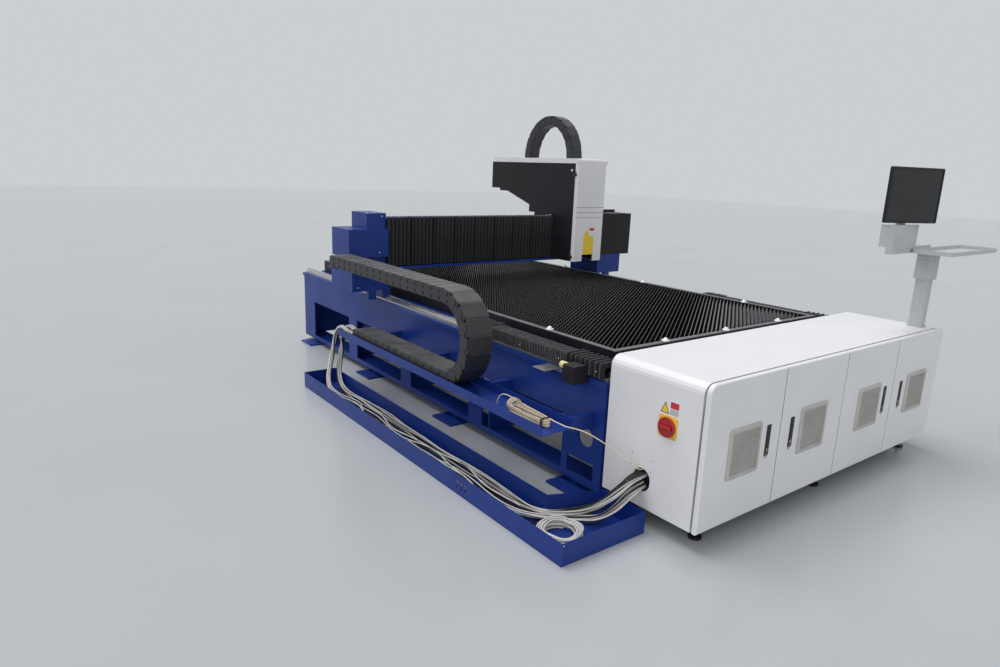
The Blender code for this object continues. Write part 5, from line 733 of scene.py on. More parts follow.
def screws(name, body, places, radius=0.005, height=0.003, material="screw_zinc"):
    """Screws of one size on one body; each place names the way it faces."""
    points = [(place, FACING[way]) for way, place in places]
    obj = placed_parts(name, screw_part(radius, height), finish(material), points)
    return dress(obj, finish(material), body, "zinc_plate")


def printed_fields(prefix, body, axis, face, fields):
    """Plain fields of colour on a face: name, finish, thickness and outline."""
    for name, colour, thick, outline in fields:
        bm = add_prism(bmesh.new(), outline, axis, face, face - thick)
        dress(solid_mesh(f"{prefix}_{name}", bm), finish(colour), body, "yellow_plastic")


class CUTTER_OT_stage(bpy.types.Operator):
    """Floor, light and the photograph's camera."""

    bl_idname = "cutter.stage"
    bl_label = "Stage"

    def execute(self, context):
        self.floor()
        self.world(context.scene)
        for name, way, spread, strength in LAMPS:
            self.lamp(name, way, spread, strength)
        self.camera(context.scene)
        context.scene.view_settings.view_transform = "Standard"
        return {"FINISHED"}

    def floor(self):
        """Pale floor, just under the machine's feet."""
        bm = bmesh.new()
        bmesh.ops.create_grid(bm, x_segments=4, y_segments=4, size=45.0)
        floor = solid_mesh("stage_floor", bm)
        floor.location.z = -0.0004
        floor.data.materials.append(material_of("pale_floor", floor_nodes))

    def world(self, scene):
        """Even light all round, and a pale background for the camera and for reflections."""
        world = bpy.data.worlds.new("pale_hall")
        scene.world = world
        world.use_nodes = True
        tree = world.node_tree
        tree.nodes.clear()
        light = add_node(tree, "ShaderNodeBackground", Color=(0.93, 0.96, 1.0, 1.0),
                         Strength=0.24)
        seen = add_node(tree, "ShaderNodeBackground", Color=(0.60, 0.62, 0.64, 1.0),
                        Strength=1.0)
        path = tree.nodes.new("ShaderNodeLightPath").outputs
        shown = maths(tree, "MAXIMUM", path["Is Camera Ray"], path["Is Glossy Ray"])
        mix = add_node(tree, "ShaderNodeMixShader", (), shown, light.outputs["Background"],
                       seen.outputs["Background"])
        add_node(tree, "ShaderNodeOutputWorld", Surface=mix.outputs["Shader"])

    def lamp(self, name, way, spread, strength):
        """A wide, far lamp that shines one way."""
        data = bpy.data.lights.new(name, "SUN")
        data.angle = math.radians(spread)
        data.energy = strength
        lamp = bpy.data.objects.new(name, data)
        lamp.rotation_mode = "QUATERNION"
        lamp.rotation_quaternion = Vector(way).to_track_quat("-Z", "Y")
        bpy.context.scene.collection.objects.link(lamp)

    def camera(self, scene):
        """The photograph's viewpoint."""
        data = bpy.data.cameras.new("photo_camera")
        data.lens = CAMERA_LENS
        data.sensor_width = 36.0
        data.clip_end = 200.0
        camera = bpy.data.objects.new("photo_camera", data)
        back = CAMERA_RIGHT.cross(CAMERA_UP)
        turn = Matrix((CAMERA_RIGHT, CAMERA_UP, back)).transposed()
        camera.matrix_world = Matrix.Translation(CAMERA_PLACE) @ turn.to_4x4()
        scene.collection.objects.link(camera)
        scene.camera = camera


class CUTTER_OT_solids(bpy.types.Operator):
    """Finishes of the solids that stay as they are."""

    bl_idname = "cutter.solids"
    bl_label = "Finishes of the solids"

    def execute(self, context):
        for name, nodes in SOLID_FINISHES.items():
            for node in nodes:
                painted(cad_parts[node], finish(name))
        return {"FINISHED"}


class CUTTER_OT_slats(bpy.types.Operator):
    """Toothed slats in their comb bars."""

    bl_idname = "cutter.slats"
    bl_label = "Slat table"

    def execute(self, context):
        sizes = context.scene.cutter_sizes
        low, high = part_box("slat_table")
        # Near-black faces and lighter grey edges; the edges are partly bare cut steel and partly a
        # painted highlight.
        steel = material_of("cutter_slat_steel", slat_nodes, (0.0040, 0.0040, 0.005),
                            (0.22, 0.22, 0.23))
        first, last = low.y + SLAT_MARGIN, high.y - SLAT_MARGIN
        count = int((last - first) / sizes.slat_pitch) + 1
        slats = row_of("slats", self.slat(sizes, low, high), steel, count, (0, first, 0),
                       (0, sizes.slat_pitch, 0))
        bm = bmesh.new()
        for x in COMB_X:
            add_block(bm, x - COMB_HALF, x + COMB_HALF, low.y, high.y, low.z,
                      low.z + COMB_HEIGHT)
        bars = solid_mesh("comb_bars", bm)
        bars.data.materials.append(steel)
        table = joined("slat_field", slats, bars)
        dress(table, steel, "machine", "mill_steel", "slat_table")
        return {"FINISHED"}

    def slat(self, sizes, low, high):
        """One slat with pointed teeth whose tips are a little blunt."""
        pitch = (high.x - low.x) / sizes.slat_teeth
        valley = high.z - sizes.tooth_depth
        outline = [(low.x, low.z + 0.0021), (high.x, low.z + 0.0021)]
        for i in range(sizes.slat_teeth, 0, -1):
            x = low.x + i * pitch
            outline += [(x, valley), (x - pitch * 0.47, high.z), (x - pitch * 0.53, high.z)]
        outline.append((low.x, valley))
        return solid_mesh("slat", add_prism(bmesh.new(), outline, "Y", 0.0, SLAT_THICKNESS))


class CUTTER_OT_border(bpy.types.Operator):
    """Steel border with its ball transfer units."""

    bl_idname = "cutter.border"
    bl_label = "Table border"

    def execute(self, context):
        low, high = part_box("table_border")
        top = BORDER_TOP
        steel = finish("border_steel")
        strips = self.bars(low, high, BORDER_WIDTH, 0.0, top - BORDER_PLATE, top)
        border = soften(solid_mesh("border_strips", strips), 0.0012)
        dress(border, steel, "machine", "machined_steel", "table_border")
        plates = self.bars(low, high, BORDER_PLATE, PROUD, low.z, top - BORDER_PLATE - 2 * PROUD)
        sides = solid_mesh("border_sides", plates)
        dress(sides, finish("black_enamel"), "machine", "machined_steel", "table_border")
        places = [((side * BALL_SIDE_X, 1.27 + i * 1.07, top), (0, 0, 0))
                  for side in (-1, 1) for i in range(4)]
        places += [((x, BALL_FRONT_Y, top), (0, 0, 0)) for x in (-0.6, 0.0, 0.6)]
        units = placed_parts("ball_units", self.unit(), finish("ball_white"), places)
        dress(units, finish("ball_white"), "machine", "machined_steel", "table_border")
        return {"FINISHED"}

    def bars(self, low, high, wide, gap, z0, z1):
        """Four flat bars round the table."""
        bm = bmesh.new()
        for x in (low.x, high.x - wide):
            add_block(bm, x, x + wide, low.y, high.y, z0, z1)
        for y in (low.y, high.y - wide):
            add_block(bm, low.x + wide + gap, high.x - wide - gap, y, y + wide, z0, z1)
        return bm

    def unit(self):
        """A flanged cup with a ball standing out of it."""
        bm = bmesh.new()
        profile = [(0.026, 0.0), (0.026, 0.0045), (0.0245, 0.006), (0.0185, 0.006),
                   (0.0178, 0.0085), (0.0166, 0.0085)]
        for step in range(1, 6):
            angle = math.radians(15 + step * 13)
            profile.append((0.0166 * math.cos(angle), 0.0035 + 0.0168 * math.sin(angle)))
        profile.append((0.0012, 0.0203))
        add_turned(bm, "Z", (0, 0, 0), profile, 24)
        return solid_mesh("ball_unit", bm, smooth=True, sharp=50)


def pleat_stations(zones, seed):
    """Places along a folded cover: (distance, lift from 0 to 1) with a small bead at each ridge."""
    chance = random.Random(seed)
    stations = []
    for start, end, count, lift in zones:
        pitch = (end - start) / count
        for i in range(count):
            at = start + i * pitch
            this = lift * chance.uniform(0.82, 1.0)
            peak = at + pitch * chance.uniform(0.44, 0.56)
            bead = min(0.0016, pitch * 0.12)
            stations += [(at, 0.0), (peak - bead, this * 0.92), (peak, this),
                         (peak + bead, this * 0.92)]
    stations.append((zones[-1][1], 0.0))
    return stations


class CUTTER_OT_way_covers(bpy.types.Operator):
    """Pleated covers drawn over the front of the rails."""

    bl_idname = "cutter.way_covers"
    bl_label = "Way covers"

    def execute(self, context):
        cloth = material_of("cutter_way_cloth", cloth_nodes, (6.0, 1.0, 6.0))
        # The beads on the cover's top ridges get a lighter grey: a painted highlight.
        bead = finish("bead_grey")
        for side, node in ((-1, "bellows_left"), (1, "bellows_right")):
            low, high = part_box(node)
            inner, outer = sorted((abs(low.x), abs(high.x)))
            zones = ((low.y, low.y + 0.30, 8, 1.0), (low.y + 0.30, high.y - 0.20, 50, 0.55),
                     (high.y - 0.20, high.y, 6, 0.95))
            rings = []
            for y, lift in pleat_stations(zones, 11 + side):
                rings.append(self.ring(side, inner, outer, low.z, COVER_TOP, y, lift))
            cover = solid_mesh("way_cover_" + node[8:], add_loft(bmesh.new(), rings), True, 60)
            cover.data.materials.append(cloth)
            paint_ridge_highlights(cover, bead, len(rings[0]), (1, 2, 3, 4, 5, 6))
            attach(cover, "machine")
            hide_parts(node)
            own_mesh(cover)
        return {"FINISHED"}

    def ring(self, side, inner, outer, low, high, y, lift):
        """The cover's upturned U at one station."""
        drop = COVER_DROP * (1 - lift)
        out, near, top = outer - drop, inner + drop, high - drop
        soft, deep = 0.010, COVER_DEPTH
        outline = [(near, low), (near, top - soft), (near + soft * 0.3, top - soft * 0.3),
                   (near + soft, top), (out - soft, top), (out - soft * 0.3, top - soft * 0.3),
                   (out, top - soft), (out, low), (outer - deep, low), (outer - deep, high - deep),
                   (inner + deep, high - deep), (inner + deep, low)]
        return [(side * x, y, z) for x, z in outline]


class CUTTER_OT_beam_covers(bpy.types.Operator):
    """Pleated covers over the gantry beam, in stretches."""

    bl_idname = "cutter.beam_covers"
    bl_label = "Beam covers"

    def execute(self, context):
        cloth = material_of("cutter_beam_cloth", cloth_nodes, (6.0, 6.0, 0.7))
        pleats = context.scene.cutter_sizes.beam_pleats
        for node, parts, seed, fixed_low in (("beam_bellows_left", 8, 3, True),
                                             ("beam_bellows_right", 3, 5, False)):
            low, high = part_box(node)
            stations = pleat_stations([(low.x, high.x, pleats, 1.0)], seed)
            size = len(stations) - 1
            per = pleats // parts
            for k in range(parts):
                first = k * per * 4
                last = size if k == parts - 1 else (k + 1) * per * 4
                part = stations[first:last + 1]
                rings = [self.ring(low, high, x, lift) for x, lift in part]
                name = f"beam_cover_{node[13:]}_{k + 1}"
                cover = solid_mesh(name, add_loft(bmesh.new(), rings), True, 60)
                cover.data.materials.append(cloth)
                # The beads on the cover's rounded top get a lighter grey: a painted highlight.
                paint_ridge_highlights(cover, finish("bead_grey"), len(rings[0]), (3, 4))
                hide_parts(node)
                self.share(cover, part[0][0], part[-1][0], low, high, fixed_low)
        return {"FINISHED"}

    def share(self, cover, start, end, low, high, fixed_low):
        """Work out one stretch's own part of the way between the beam and the carriage, and bake
        the stretch in place.
        """
        span = high.x - low.x
        if fixed_low:
            shares = (start - low.x) / span, (end - low.x) / span
        else:
            shares = (high.x - end) / span, (high.x - start) / span
            start, end = end, start
        blend_between(cover, "gantry", "carriage", Vector((start, 3.12, 1.15)),
                      Vector((end, 3.12, 1.15)), *shares)

    def ring(self, low, high, x, lift):
        """The cover's front and its rounded top at one station."""
        drop, soft = BEAM_DROP * (1 - lift), BEAM_SOFT
        front, top = low.y + drop, high.z - drop * 0.9
        middle = (low.z + top) / 2
        outline = [(high.y, low.z), (front, low.z), (front, middle), (front, top - soft),
                   (front + soft * 0.3, top - soft * 0.3), (front + soft, top), (high.y, top)]
        return [(x, y, z) for y, z in outline]


def paint_ridge_highlights(cover, material, count, parts):
    """Give the beads on the ridges of a folded cover a lighter grey, a painted highlight, on some
    parts of its outline.
    """
    cover.data.materials.append(material)
    for face in cover.data.polygons:
        if face.index // count % 4 in (1, 2) and face.index % count in parts:
            face.material_index = 1


def blend_between(obj, body_a, body_b, start, end, share_start, share_end):
    """Bake a stretch's placing into its mesh; body_b and the given shares are not used."""
    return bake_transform(obj)


def link_part(width, height, length, stretch=1.0):
    """One enclosed drag chain link along Y, centred on its middle: side plates, lids and pins."""
    bm = bmesh.new()
    half, wall = width / 2, CHAIN_WALL
    reach = length / 2 - 0.0008
    soft = height * 0.20
    for side in (-1, 1):
        outer, inner = side * half, side * (half - wall)
        low, high = sorted((outer, inner))
        add_prism(bm, rounded(-reach - 0.006, reach - 0.007, -height / 2, height / 2, soft, 3),
                  "X", low + 0.0035 * (side < 0), high - 0.0035 * (side > 0))
        add_prism(bm, rounded(-reach + 0.020, reach, -height * 0.44, height * 0.44, soft, 3),
                  "X", low, high)
        step = side * 0.0012
        add_turned(bm, "X", (outer - step, -reach + 0.008, 0),
                   [(height * 0.16, -0.0010), (height * 0.16, 0.0010), (height * 0.05, 0.0010)], 10)
    lid = half - wall + 0.002
    for top in (height / 2, -height / 2 + 0.0055):
        end = (length / 2) * (stretch if top == height / 2 else 1.0) - 0.0008
        outline = [(-end, top - 0.0055), (end - 0.006, top - 0.0055), (end, top - 0.004),
                   (end, top - 0.0015), (end - 0.0015, top - 0.0002), (-end + 0.009, top),
                   (-end + 0.008, top - 0.0018), (-end, top - 0.0022)]
        add_prism(bm, outline, "X", -lid, lid)
    for x in (-lid * 0.52, 0.0, lid * 0.52):
        add_block(bm, x - 0.0012, x + 0.0012, -reach + 0.012, reach - 0.008,
                  height / 2 - 0.0008, height / 2)
    return solid_mesh("chain_link", bm)


def run_links(start, end, level, pitch):
    """Places of even links on a straight run along Y, and a link's length."""
    count = max(1, round(abs(end - start) / pitch))
    step = (end - start) / count
    return [(CHAIN_X, start + (i + 0.5) * step, level) for i in range(count)], abs(step)


class CUTTER_OT_side_chain(bpy.types.Operator):
    """Long drag chain beside the bed: run on the shelf, loop and run to the gantry."""

    bl_idname = "cutter.side_chain"
    bl_label = "Side drag chain"

    def execute(self, context):
        pitch = context.scene.cutter_sizes.link_pitch
        plastic = finish("chain_plastic", CHAIN_DUST)
        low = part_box("chain_lower")[0].z + CHAIN_HEIGHT / 2
        high = low + 2 * CHAIN_RADIUS
        self.run("lower", CHAIN_FIXED_Y, CHAIN_LOOP_Y, low, pitch, plastic, 3, "rolling_loop",
                 (0.0, 1.0))
        self.run("upper", CHAIN_LOOP_Y, CHAIN_MOVING_Y, high, pitch, plastic, 4, "gantry",
                 (0.5, 1.0))
        count = round(math.pi * CHAIN_RADIUS / pitch)
        points = []
        for i in range(count):
            angle = math.pi * (i + 0.5) / count
            points.append(((CHAIN_X, CHAIN_LOOP_Y - CHAIN_RADIUS * math.sin(angle),
                            (low + high) / 2 - CHAIN_RADIUS * math.cos(angle)),
                           (math.pi - angle, 0, 0)))
        length = math.pi * CHAIN_RADIUS / count
        link = link_part(CHAIN_WIDTH, CHAIN_HEIGHT, length, 1 + CHAIN_HEIGHT / 2 / CHAIN_RADIUS)
        loop = placed_parts("side_chain_loop", link, plastic, points)
        dress(loop, plastic, "rolling_loop", "chain_plastic", "chain_loop")
        return {"FINISHED"}

    def run(self, name, start, end, level, pitch, plastic, parts, body, shares):
        """A straight run in stretches."""
        points, length = run_links(start, end, level, pitch)
        per = -(-len(points) // parts)
        turn = (math.pi, 0, 0) if name == "lower" else (0, 0, 0)
        direction = 1 if end > start else -1
        for k in range(parts):
            group = points[k * per:(k + 1) * per]
            if not group:
                continue
            link = link_part(CHAIN_WIDTH, CHAIN_HEIGHT, length)
            stretch = placed_parts(f"side_chain_{name}_{k + 1}", link, plastic,
                                   [(place, turn) for place in group])
            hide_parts(f"chain_{name}")
            edges = (group[0][1] - direction * length / 2,
                     group[-1][1] + direction * length / 2)
            way = [shares[0] + (shares[1] - shares[0]) * (edge - start) / (end - start)
                   for edge in edges]
            blend_between(stretch, "machine", body, Vector((CHAIN_X, edges[0], level)),
                          Vector((CHAIN_X, edges[1], level)), *way)


class CUTTER_OT_head_chain(bpy.types.Operator):
    """Arched drag chain over the cutting head."""

    bl_idname = "cutter.head_chain"
    bl_label = "Head drag chain"

    def execute(self, context):
        pitch = context.scene.cutter_sizes.link_pitch
        low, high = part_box("head_chain")
        half = CHAIN_HEIGHT / 2
        spread, rise = (high.y - low.y) / 2 - half, high.z - low.z - half
        centre = Vector(((low.x + high.x) / 2, (low.y + high.y) / 2, low.z - 0.0004))
        fine = [self.place(centre, spread, rise, math.pi * i / 400) for i in range(401)]
        lengths = lengths_along(fine)
        count = round(lengths[-1] / pitch)
        points = []
        k = 0
        for i in range(count):
            target = lengths[-1] * (i + 0.5) / count
            while lengths[k + 1] < target:
                k += 1
            way = fine[k + 1] - fine[k]
            points.append((tuple(fine[k]), (math.atan2(way.z, way.y), 0, 0)))
        plastic = finish("chain_plastic", CHAIN_DUST)
        link = link_part(high.x - low.x, CHAIN_HEIGHT, lengths[-1] / count, ARCH_LID_STRETCH)
        arch = placed_parts("head_chain_links", link, plastic, points)
        dress(arch, plastic, "carriage", "chain_plastic", "head_chain")
        return {"FINISHED"}

    def place(self, centre, spread, rise, angle):
        """A point of the arch, from its front foot to its rear foot."""
        return centre + Vector((0, -spread * math.cos(angle), rise * math.sin(angle)))


class CUTTER_OT_filters(bpy.types.Operator):
    """Louvred fan filters in the doors."""

    bl_idname = "cutter.filters"
    bl_label = "Fan filters"

    def execute(self, context):
        sizes = context.scene.cutter_sizes
        plastic = finish("light_plastic")
        for index in range(1, 5):
            node = f"filter_{index}"
            low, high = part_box(node)
            body = f"cabinet_door_{index}"
            x0, x1, z0, z1 = low.x, high.x, low.z, high.z
            face, back = low.y, low.y + FILTER_DEPTH
            shapes = [rounded(x0 + inset, x1 - inset, z0 + inset, z1 - inset, radius)
                      for inset, radius in ((0, 0.010), (0, 0.010), (0.009, 0.006),
                                            (FILTER_BORDER, 0.003), (FILTER_BORDER, 0.003))]
            depths = (back, face + 0.006, face, face + 0.001, back)
            rim = solid_mesh(node + "_rim", hoop([[(x, y, z) for x, z in shape]
                                                  for shape, y in zip(shapes, depths)]), True, 30)
            rim.data.materials.append(plastic)
            inner = FILTER_BORDER - 0.001
            bm = bmesh.new()
            add_prism(bm, [(face + 0.0015, 0.0), (face + 0.0030, -0.0008), (back - 0.001, 0.0075),
                           (back - 0.0015, 0.0090)], "X", x0 + inner, x1 - inner)
            pitch = (z1 - z0 - 2 * inner) / sizes.louvres
            blades = row_of(node + "_blades", solid_mesh("blade", bm), plastic, sizes.louvres,
                            (0, 0, z0 + inner + pitch * 0.15), (0, 0, pitch))
            bm = bmesh.new()
            add_block(bm, -0.0009, 0.0009, face + 0.0018, back - 0.002, z0 + inner, z1 - inner)
            step = (x1 - x0 - 2 * inner) / (sizes.filter_ribs + 1)
            ribs = row_of(node + "_ribs", solid_mesh("rib", bm), plastic, sizes.filter_ribs,
                          (x0 + inner + step, 0, 0), (step, 0, 0))
            grille = joined(node + "_grille", rim, blades, ribs)
            dress(grille, plastic, body, "light_plastic", node)
            bm = bmesh.new()
            add_block(bm, x0 + inner, x1 - inner, back - 0.0012, back + 0.012, z0 + inner,
                      z1 - inner)
            mat = solid_mesh(node + "_mat", bm)
            dress(mat, finish("filter_mat"), body, "light_plastic", node)
        return {"FINISHED"}


class CUTTER_OT_handles(bpy.types.Operator):
    """Flip handles in the doors with their keys and bezels, and the doors' black seals, which are
    partly painted shade in the gaps between the doors.
    """

    bl_idname = "cutter.handles"
    bl_label = "Door handles"

    def execute(self, context):
        plastic = finish("black_plastic")
        for index in range(1, 5):
            node = f"lock_{index}"
            low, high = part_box(node)
            body = f"door_handle_{index}"
            wide = (high.x - low.x) / 2 - 0.0012
            middle = (low.x + high.x) / 2
            face = low.y
            z0, z1 = low.z + 0.004, high.z
            bm = bmesh.new()
            grip = [(face + 0.0012, z0), (face, z0 + 0.0015), (face, z1 - 0.060),
                    (face + 0.0006, z1 - 0.040), (face + 0.0006, z1 - 0.012), (face, z1 - 0.008),
                    (face, z1 - 0.0015), (face + 0.0012, z1), (face + 0.008, z1 - 0.002),
                    (face + 0.012, z1 - 0.03), (face + 0.012, z0)]
            add_prism(bm, grip, "X", middle - wide, middle + wide)
            handle = soften(solid_mesh(node + "_grip", bm), 0.0015)
            dress(handle, plastic, body, "black_plastic", node)
            key = add_prism(bmesh.new(), rounded(middle - 0.0065, middle + 0.0065, z0 + 0.012,
                                                 z0 + 0.029, 0.0015, 2), "Y", face - PROUD,
                            face - 0.0009)
            dress(solid_mesh(node + "_key", key), finish("key_grey"), body, "zinc_plate", node)
            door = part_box(f"door_{index}")[0].y
            half = (high.x - low.x) / 2
            rings = [[(x, y, z) for x, z in rounded(middle - half - at, middle + half + at,
                                                    low.z - at, high.z + at, 0.004, 3)]
                     for at, y in ((BEZEL_WIDTH, door - 0.0002), (BEZEL_WIDTH, door - 0.0014),
                                   (0.0004, door - 0.0014), (0.0004, door - 0.0002))]
            bezel = solid_mesh(node + "_bezel", hoop(rings))
            dress(bezel, plastic, f"cabinet_door_{index}", "black_plastic")
            self.seal(index)
        return {"FINISHED"}

    def seal(self, index):
        """Black sealing strips on the door's edges beside its neighbours, which also paint the
        shade of the gaps between the doors.
        """
        low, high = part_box(f"door_{index}")
        bm = bmesh.new()
        for x, outward in ((low.x, -1), (high.x, 1)):
            if abs(x) < 1:
                x0, x1 = sorted((x + outward * PROUD, x + outward * SEAL_WIDTH))
                add_block(bm, x0, x1, low.y + 0.0014, high.y - 0.003, low.z + 0.004,
                          high.z - 0.012)
        strips = solid_mesh(f"door_{index}_seal", bm)
        dress(strips, finish("black_plastic"), f"cabinet_door_{index}", "black_plastic")


class CUTTER_OT_switch(bpy.types.Operator):
    """Main switch with its plate and the plain label above it."""

    bl_idname = "cutter.switch"
    bl_label = "Main switch"

    def execute(self, context):
        low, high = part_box("switch_plate")
        bm = bmesh.new()
        add_prism(bm, rounded(low.y, high.y, low.z, high.z, 0.008), "X", high.x, low.x)
        plate = soften(solid_mesh("switch_plate_face", bm), 0.0012)
        dress(plate, finish("yellow_plastic"), "machine", "yellow_plastic", "switch_plate")
        y, z = (low.y + high.y) / 2, (low.z + high.z) / 2
        corner = 0.045
        screws("switch_screws", "machine",
               [("-X", (low.x, y + a * corner, z + b * corner)) for a in (-1, 1) for b in (-1, 1)],
               0.0035, 0.001)
        self.knob(y, z)
        self.label(y, high.z)
        return {"FINISHED"}

    def knob(self, y, z):
        """Red collar, cup and grip bar."""
        low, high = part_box("switch_knob")
        base = high.x
        bm = bmesh.new()
        profile = [(0.0500, 0.0), (0.0510, -0.008), (0.0495, -0.0125), (0.0460, -0.0140),
                   (0.0400, -0.0130), (0.0385, -0.0105), (0.0010, -0.0105)]
        add_turned(bm, "X", (base, y, z), profile, 48)
        cup = solid_mesh("knob_cup", bm, True, 30)
        bm = bmesh.new()
        outline = rounded(y - KNOB_GRIP, y + KNOB_GRIP, z - 0.0110, z + 0.0110, 0.0100, 6)
        add_prism(bm, outline, "X", base - 0.0100, base + 0.62 * (low.x - base))
        grip = soften(solid_mesh("knob_grip", bm), 0.0025)
        knob = joined("switch_handle", cup, grip)
        knob.data.shade_smooth()
        knob.data.set_sharp_from_angle(angle=math.radians(32))
        dress(knob, finish("red_plastic"), "main_switch", "red_plastic", "switch_knob")

    def label(self, y, plate_top):
        """Plain sticker: a yellow triangle, a red field and a pale grey one."""
        low = plate_top + LABEL_GAP
        printed_fields("switch_label", "machine", "X", CABINET_FACE - PROUD, (
            ("white", "label_white", 0.0003,
             rounded(y - 0.058, y + 0.056, low, low + 0.078, 0.002, 2)),
            ("dark", "black_plastic", 0.0005,
             [(y + 0.001, low + 0.006), (y + 0.053, low + 0.006), (y + 0.027, low + 0.064)]),
            ("yellow", "label_yellow", 0.0007,
             [(y + 0.007, low + 0.010), (y + 0.047, low + 0.010), (y + 0.027, low + 0.055)]),
            ("red", "label_red", 0.0005,
             rounded(y - 0.054, y - 0.004, low + 0.038, low + 0.070, 0.001, 2)),
            ("grey", "grey_enamel", 0.0005,
             rounded(y - 0.054, y - 0.004, low + 0.006, low + 0.034, 0.001, 2))))


class CUTTER_OT_head(bpy.types.Operator):
    """Small parts of the cutting head: fields, painted shade in its grooves, lamp, skirt, hinges
    and screws.
    """

    bl_idname = "cutter.head"
    bl_label = "Cutting head trim"

    def execute(self, context):
        low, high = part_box("head_top_cover")
        face = low.y
        printed_fields("head_field", "front_cover", "Y", face - PROUD, (
            ("yellow", "label_yellow", 0.0005, rounded(0.672, 0.804, 1.016, 1.187, 0.002, 2)),
            ("peak", "label_yellow", 0.0005, [(0.676, 1.1872), (0.748, 1.1872), (0.712, 1.256)]),
            ("red", "label_red", 0.0005, rounded(0.744, 0.804, 1.236, 1.263, 0.002, 2)),
            ("grey", "label_white", 0.0005, rounded(0.752, 0.804, 1.192, 1.232, 0.002, 2))))
        cover_low, cover_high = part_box("head_front_cover")
        # Dark grey strips set into the cover's grooves: painted shade in the grooves.
        bm = bmesh.new()
        for share in GROOVE_SHARES:
            z = cover_low.z + share * (cover_high.z - cover_low.z)
            add_block(bm, low.x + 0.002, high.x - 0.002, face + 0.0024, face + 0.0038,
                      z + 0.0002, z + 0.0038)
        grooves = solid_mesh("head_grooves", bm)
        dress(grooves, finish("groove_grey"), "front_cover", "black_plastic")
        bm = add_turned(bmesh.new(), "X", (low.x - 0.0002, 2.8646, 1.779),
                        [(0.011, 0.0), (0.011, -0.004), (0.0085, -0.0065), (0.001, -0.0075)], 24)
        lamp = solid_mesh("head_lamp", bm, True)
        dress(lamp, finish("ball_white"), "carriage", "light_plastic")
        skirt = add_prism(bmesh.new(), [(3.320, 1.300), (3.375, 1.300), (3.375, 1.42),
                                        (3.125, 1.42), (3.125, 1.3645), (3.320, 1.3455)], "X",
                          low.x + 0.0002, low.x + 0.0022)
        dress(solid_mesh("head_skirt", skirt), finish("black_enamel"), "carriage", "black_enamel")
        painted(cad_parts["head_front_cover"],
                material_of("cutter_front_cover", front_cover_nodes, low.x - 0.0002))
        edge = [("-X", (0.5498, 3.00 + 0.155 * i, 1.800)) for i in range(7)]
        edge += [("-X", (0.5498, 3.055, 1.00 + 0.12 * i)) for i in range(4)]
        screws("head_screws", "carriage", edge, 0.0040, 0.0016, "black_plastic")
        return {"FINISHED"}


class CUTTER_OT_fasteners(bpy.types.Operator):
    """Screws and bolts on the cabinet, the bed, the trough and the gantry."""

    bl_idname = "cutter.fasteners"
    bl_label = "Fasteners"

    def execute(self, context):
        face = CABINET_FACE - PROUD
        cabinet = [("-X", (face, y, z)) for y, z in ((0.328, 0.370), (0.331, 0.309),
                                                     (0.202, 0.371), (0.200, 0.307))]
        screws("cabinet_screws", "machine", cabinet, 0.0045, 0.0018)
        rails = [("+Z", (side * 1.205, 1.86 + i * 0.10, 0.7273))
                 for side in (-1, 1) for i in range(28)]
        screws("rail_screws", "machine", rails, 0.0042, 0.0010, "black_plastic")
        ways = [("+Z", (side * 1.155, 1.88 + i * 0.20, 0.7014))
                for side in (-1, 1) for i in range(14)]
        screws("way_screws", "machine", ways, 0.006, 0.003, "zinc_plate")
        trough = [("-Y", (-1.846, 0.1699, 0.106))]
        screws("trough_screws", "machine", trough, 0.004, 0.0015)
        gantry = [("-Y", (-1.46, 3.0999, z)) for z in (0.80, 0.92)]
        gantry += [("-Y", (-1.27, 3.0999, 1.075)), ("-Y", (-1.225, 3.1440, 1.36))]
        gantry += [("+Z", (-1.33 + 0.05 * i, 3.20, 1.3851)) for i in range(2)]
        screws("gantry_screws", "gantry", gantry, 0.006, 0.003)
        covers = [(way, (x, y, 0.735)) for way, x in (("-X", -1.2801), ("+X", 1.2801))
                  for y in (0.60, 0.90, 1.25, 1.60, 1.74)]
        screws("way_cover_screws", "machine", covers, 0.004, 0.002)
        return {"FINISHED"}


class CUTTER_OT_screen(bpy.types.Operator):
    """The monitor's glass and its small parts."""

    bl_idname = "cutter.screen"
    bl_label = "Monitor screen"

    def execute(self, context):
        turn = Matrix.Translation((0.79, 0.04, 1.70)) @ Matrix.Rotation(math.radians(-17), 4, "Z")
        for name, block, colour, slot in (
                ("glass", (-0.2008, 0.2008, -0.0082, -0.0078, -0.1532, 0.1532), "screen_glass",
                 "black_plastic"),
                ("light", (0.165, 0.171, -0.0114, -0.0110, -0.1630, -0.1600), "ball_white",
                 "light_plastic")):
            bm = add_block(bmesh.new(), *block)
            bmesh.ops.transform(bm, matrix=turn, verts=bm.verts)
            dress(solid_mesh("monitor_" + name, bm), finish(colour), "screen", slot)
        return {"FINISHED"}


def bundle_route(shares, side, hole_z, diameter):
    """The middle line of a cable bundle: hole, trough, and up to the chain's fixed end."""
    floor = TROUGH_FLOOR + diameter / 2
    shelf = SHELF_FLOOR + diameter / 2
    route = [Vector((CABINET_FACE + 0.018, HOLE_Y, hole_z))]
    for out, along, up in shares:
        route.append(Vector((CABINET_FACE - out * TROUGH_OUTER, HOLE_Y + along * TROUGH_OUTER,
                             floor + up * (hole_z - floor))))
    lane, start = route[-1].x, route[-1].y
    chain = CHAIN_X + side * 0.18 * CHAIN_WIDTH
    for share in (1 / 3, 2 / 3):
        route.append(Vector((lane, start + share * (SHELF_REAR - start), floor)))
    for across, along, up in RISE_ROUTE_SHARES:
        route.append(Vector((lane + across * (chain - lane), SHELF_REAR + along * BUNDLE_TURN,
                             floor + up * (shelf - floor))))
    route.append(Vector((chain, CHAIN_FIXED_Y + 0.0003, shelf)))
    return route


def lengths_along(points):
    """The way from the first point to each point."""
    lengths = [0.0]
    for a, b in zip(points, points[1:]):
        lengths.append(lengths[-1] + (b - a).length)
    return lengths


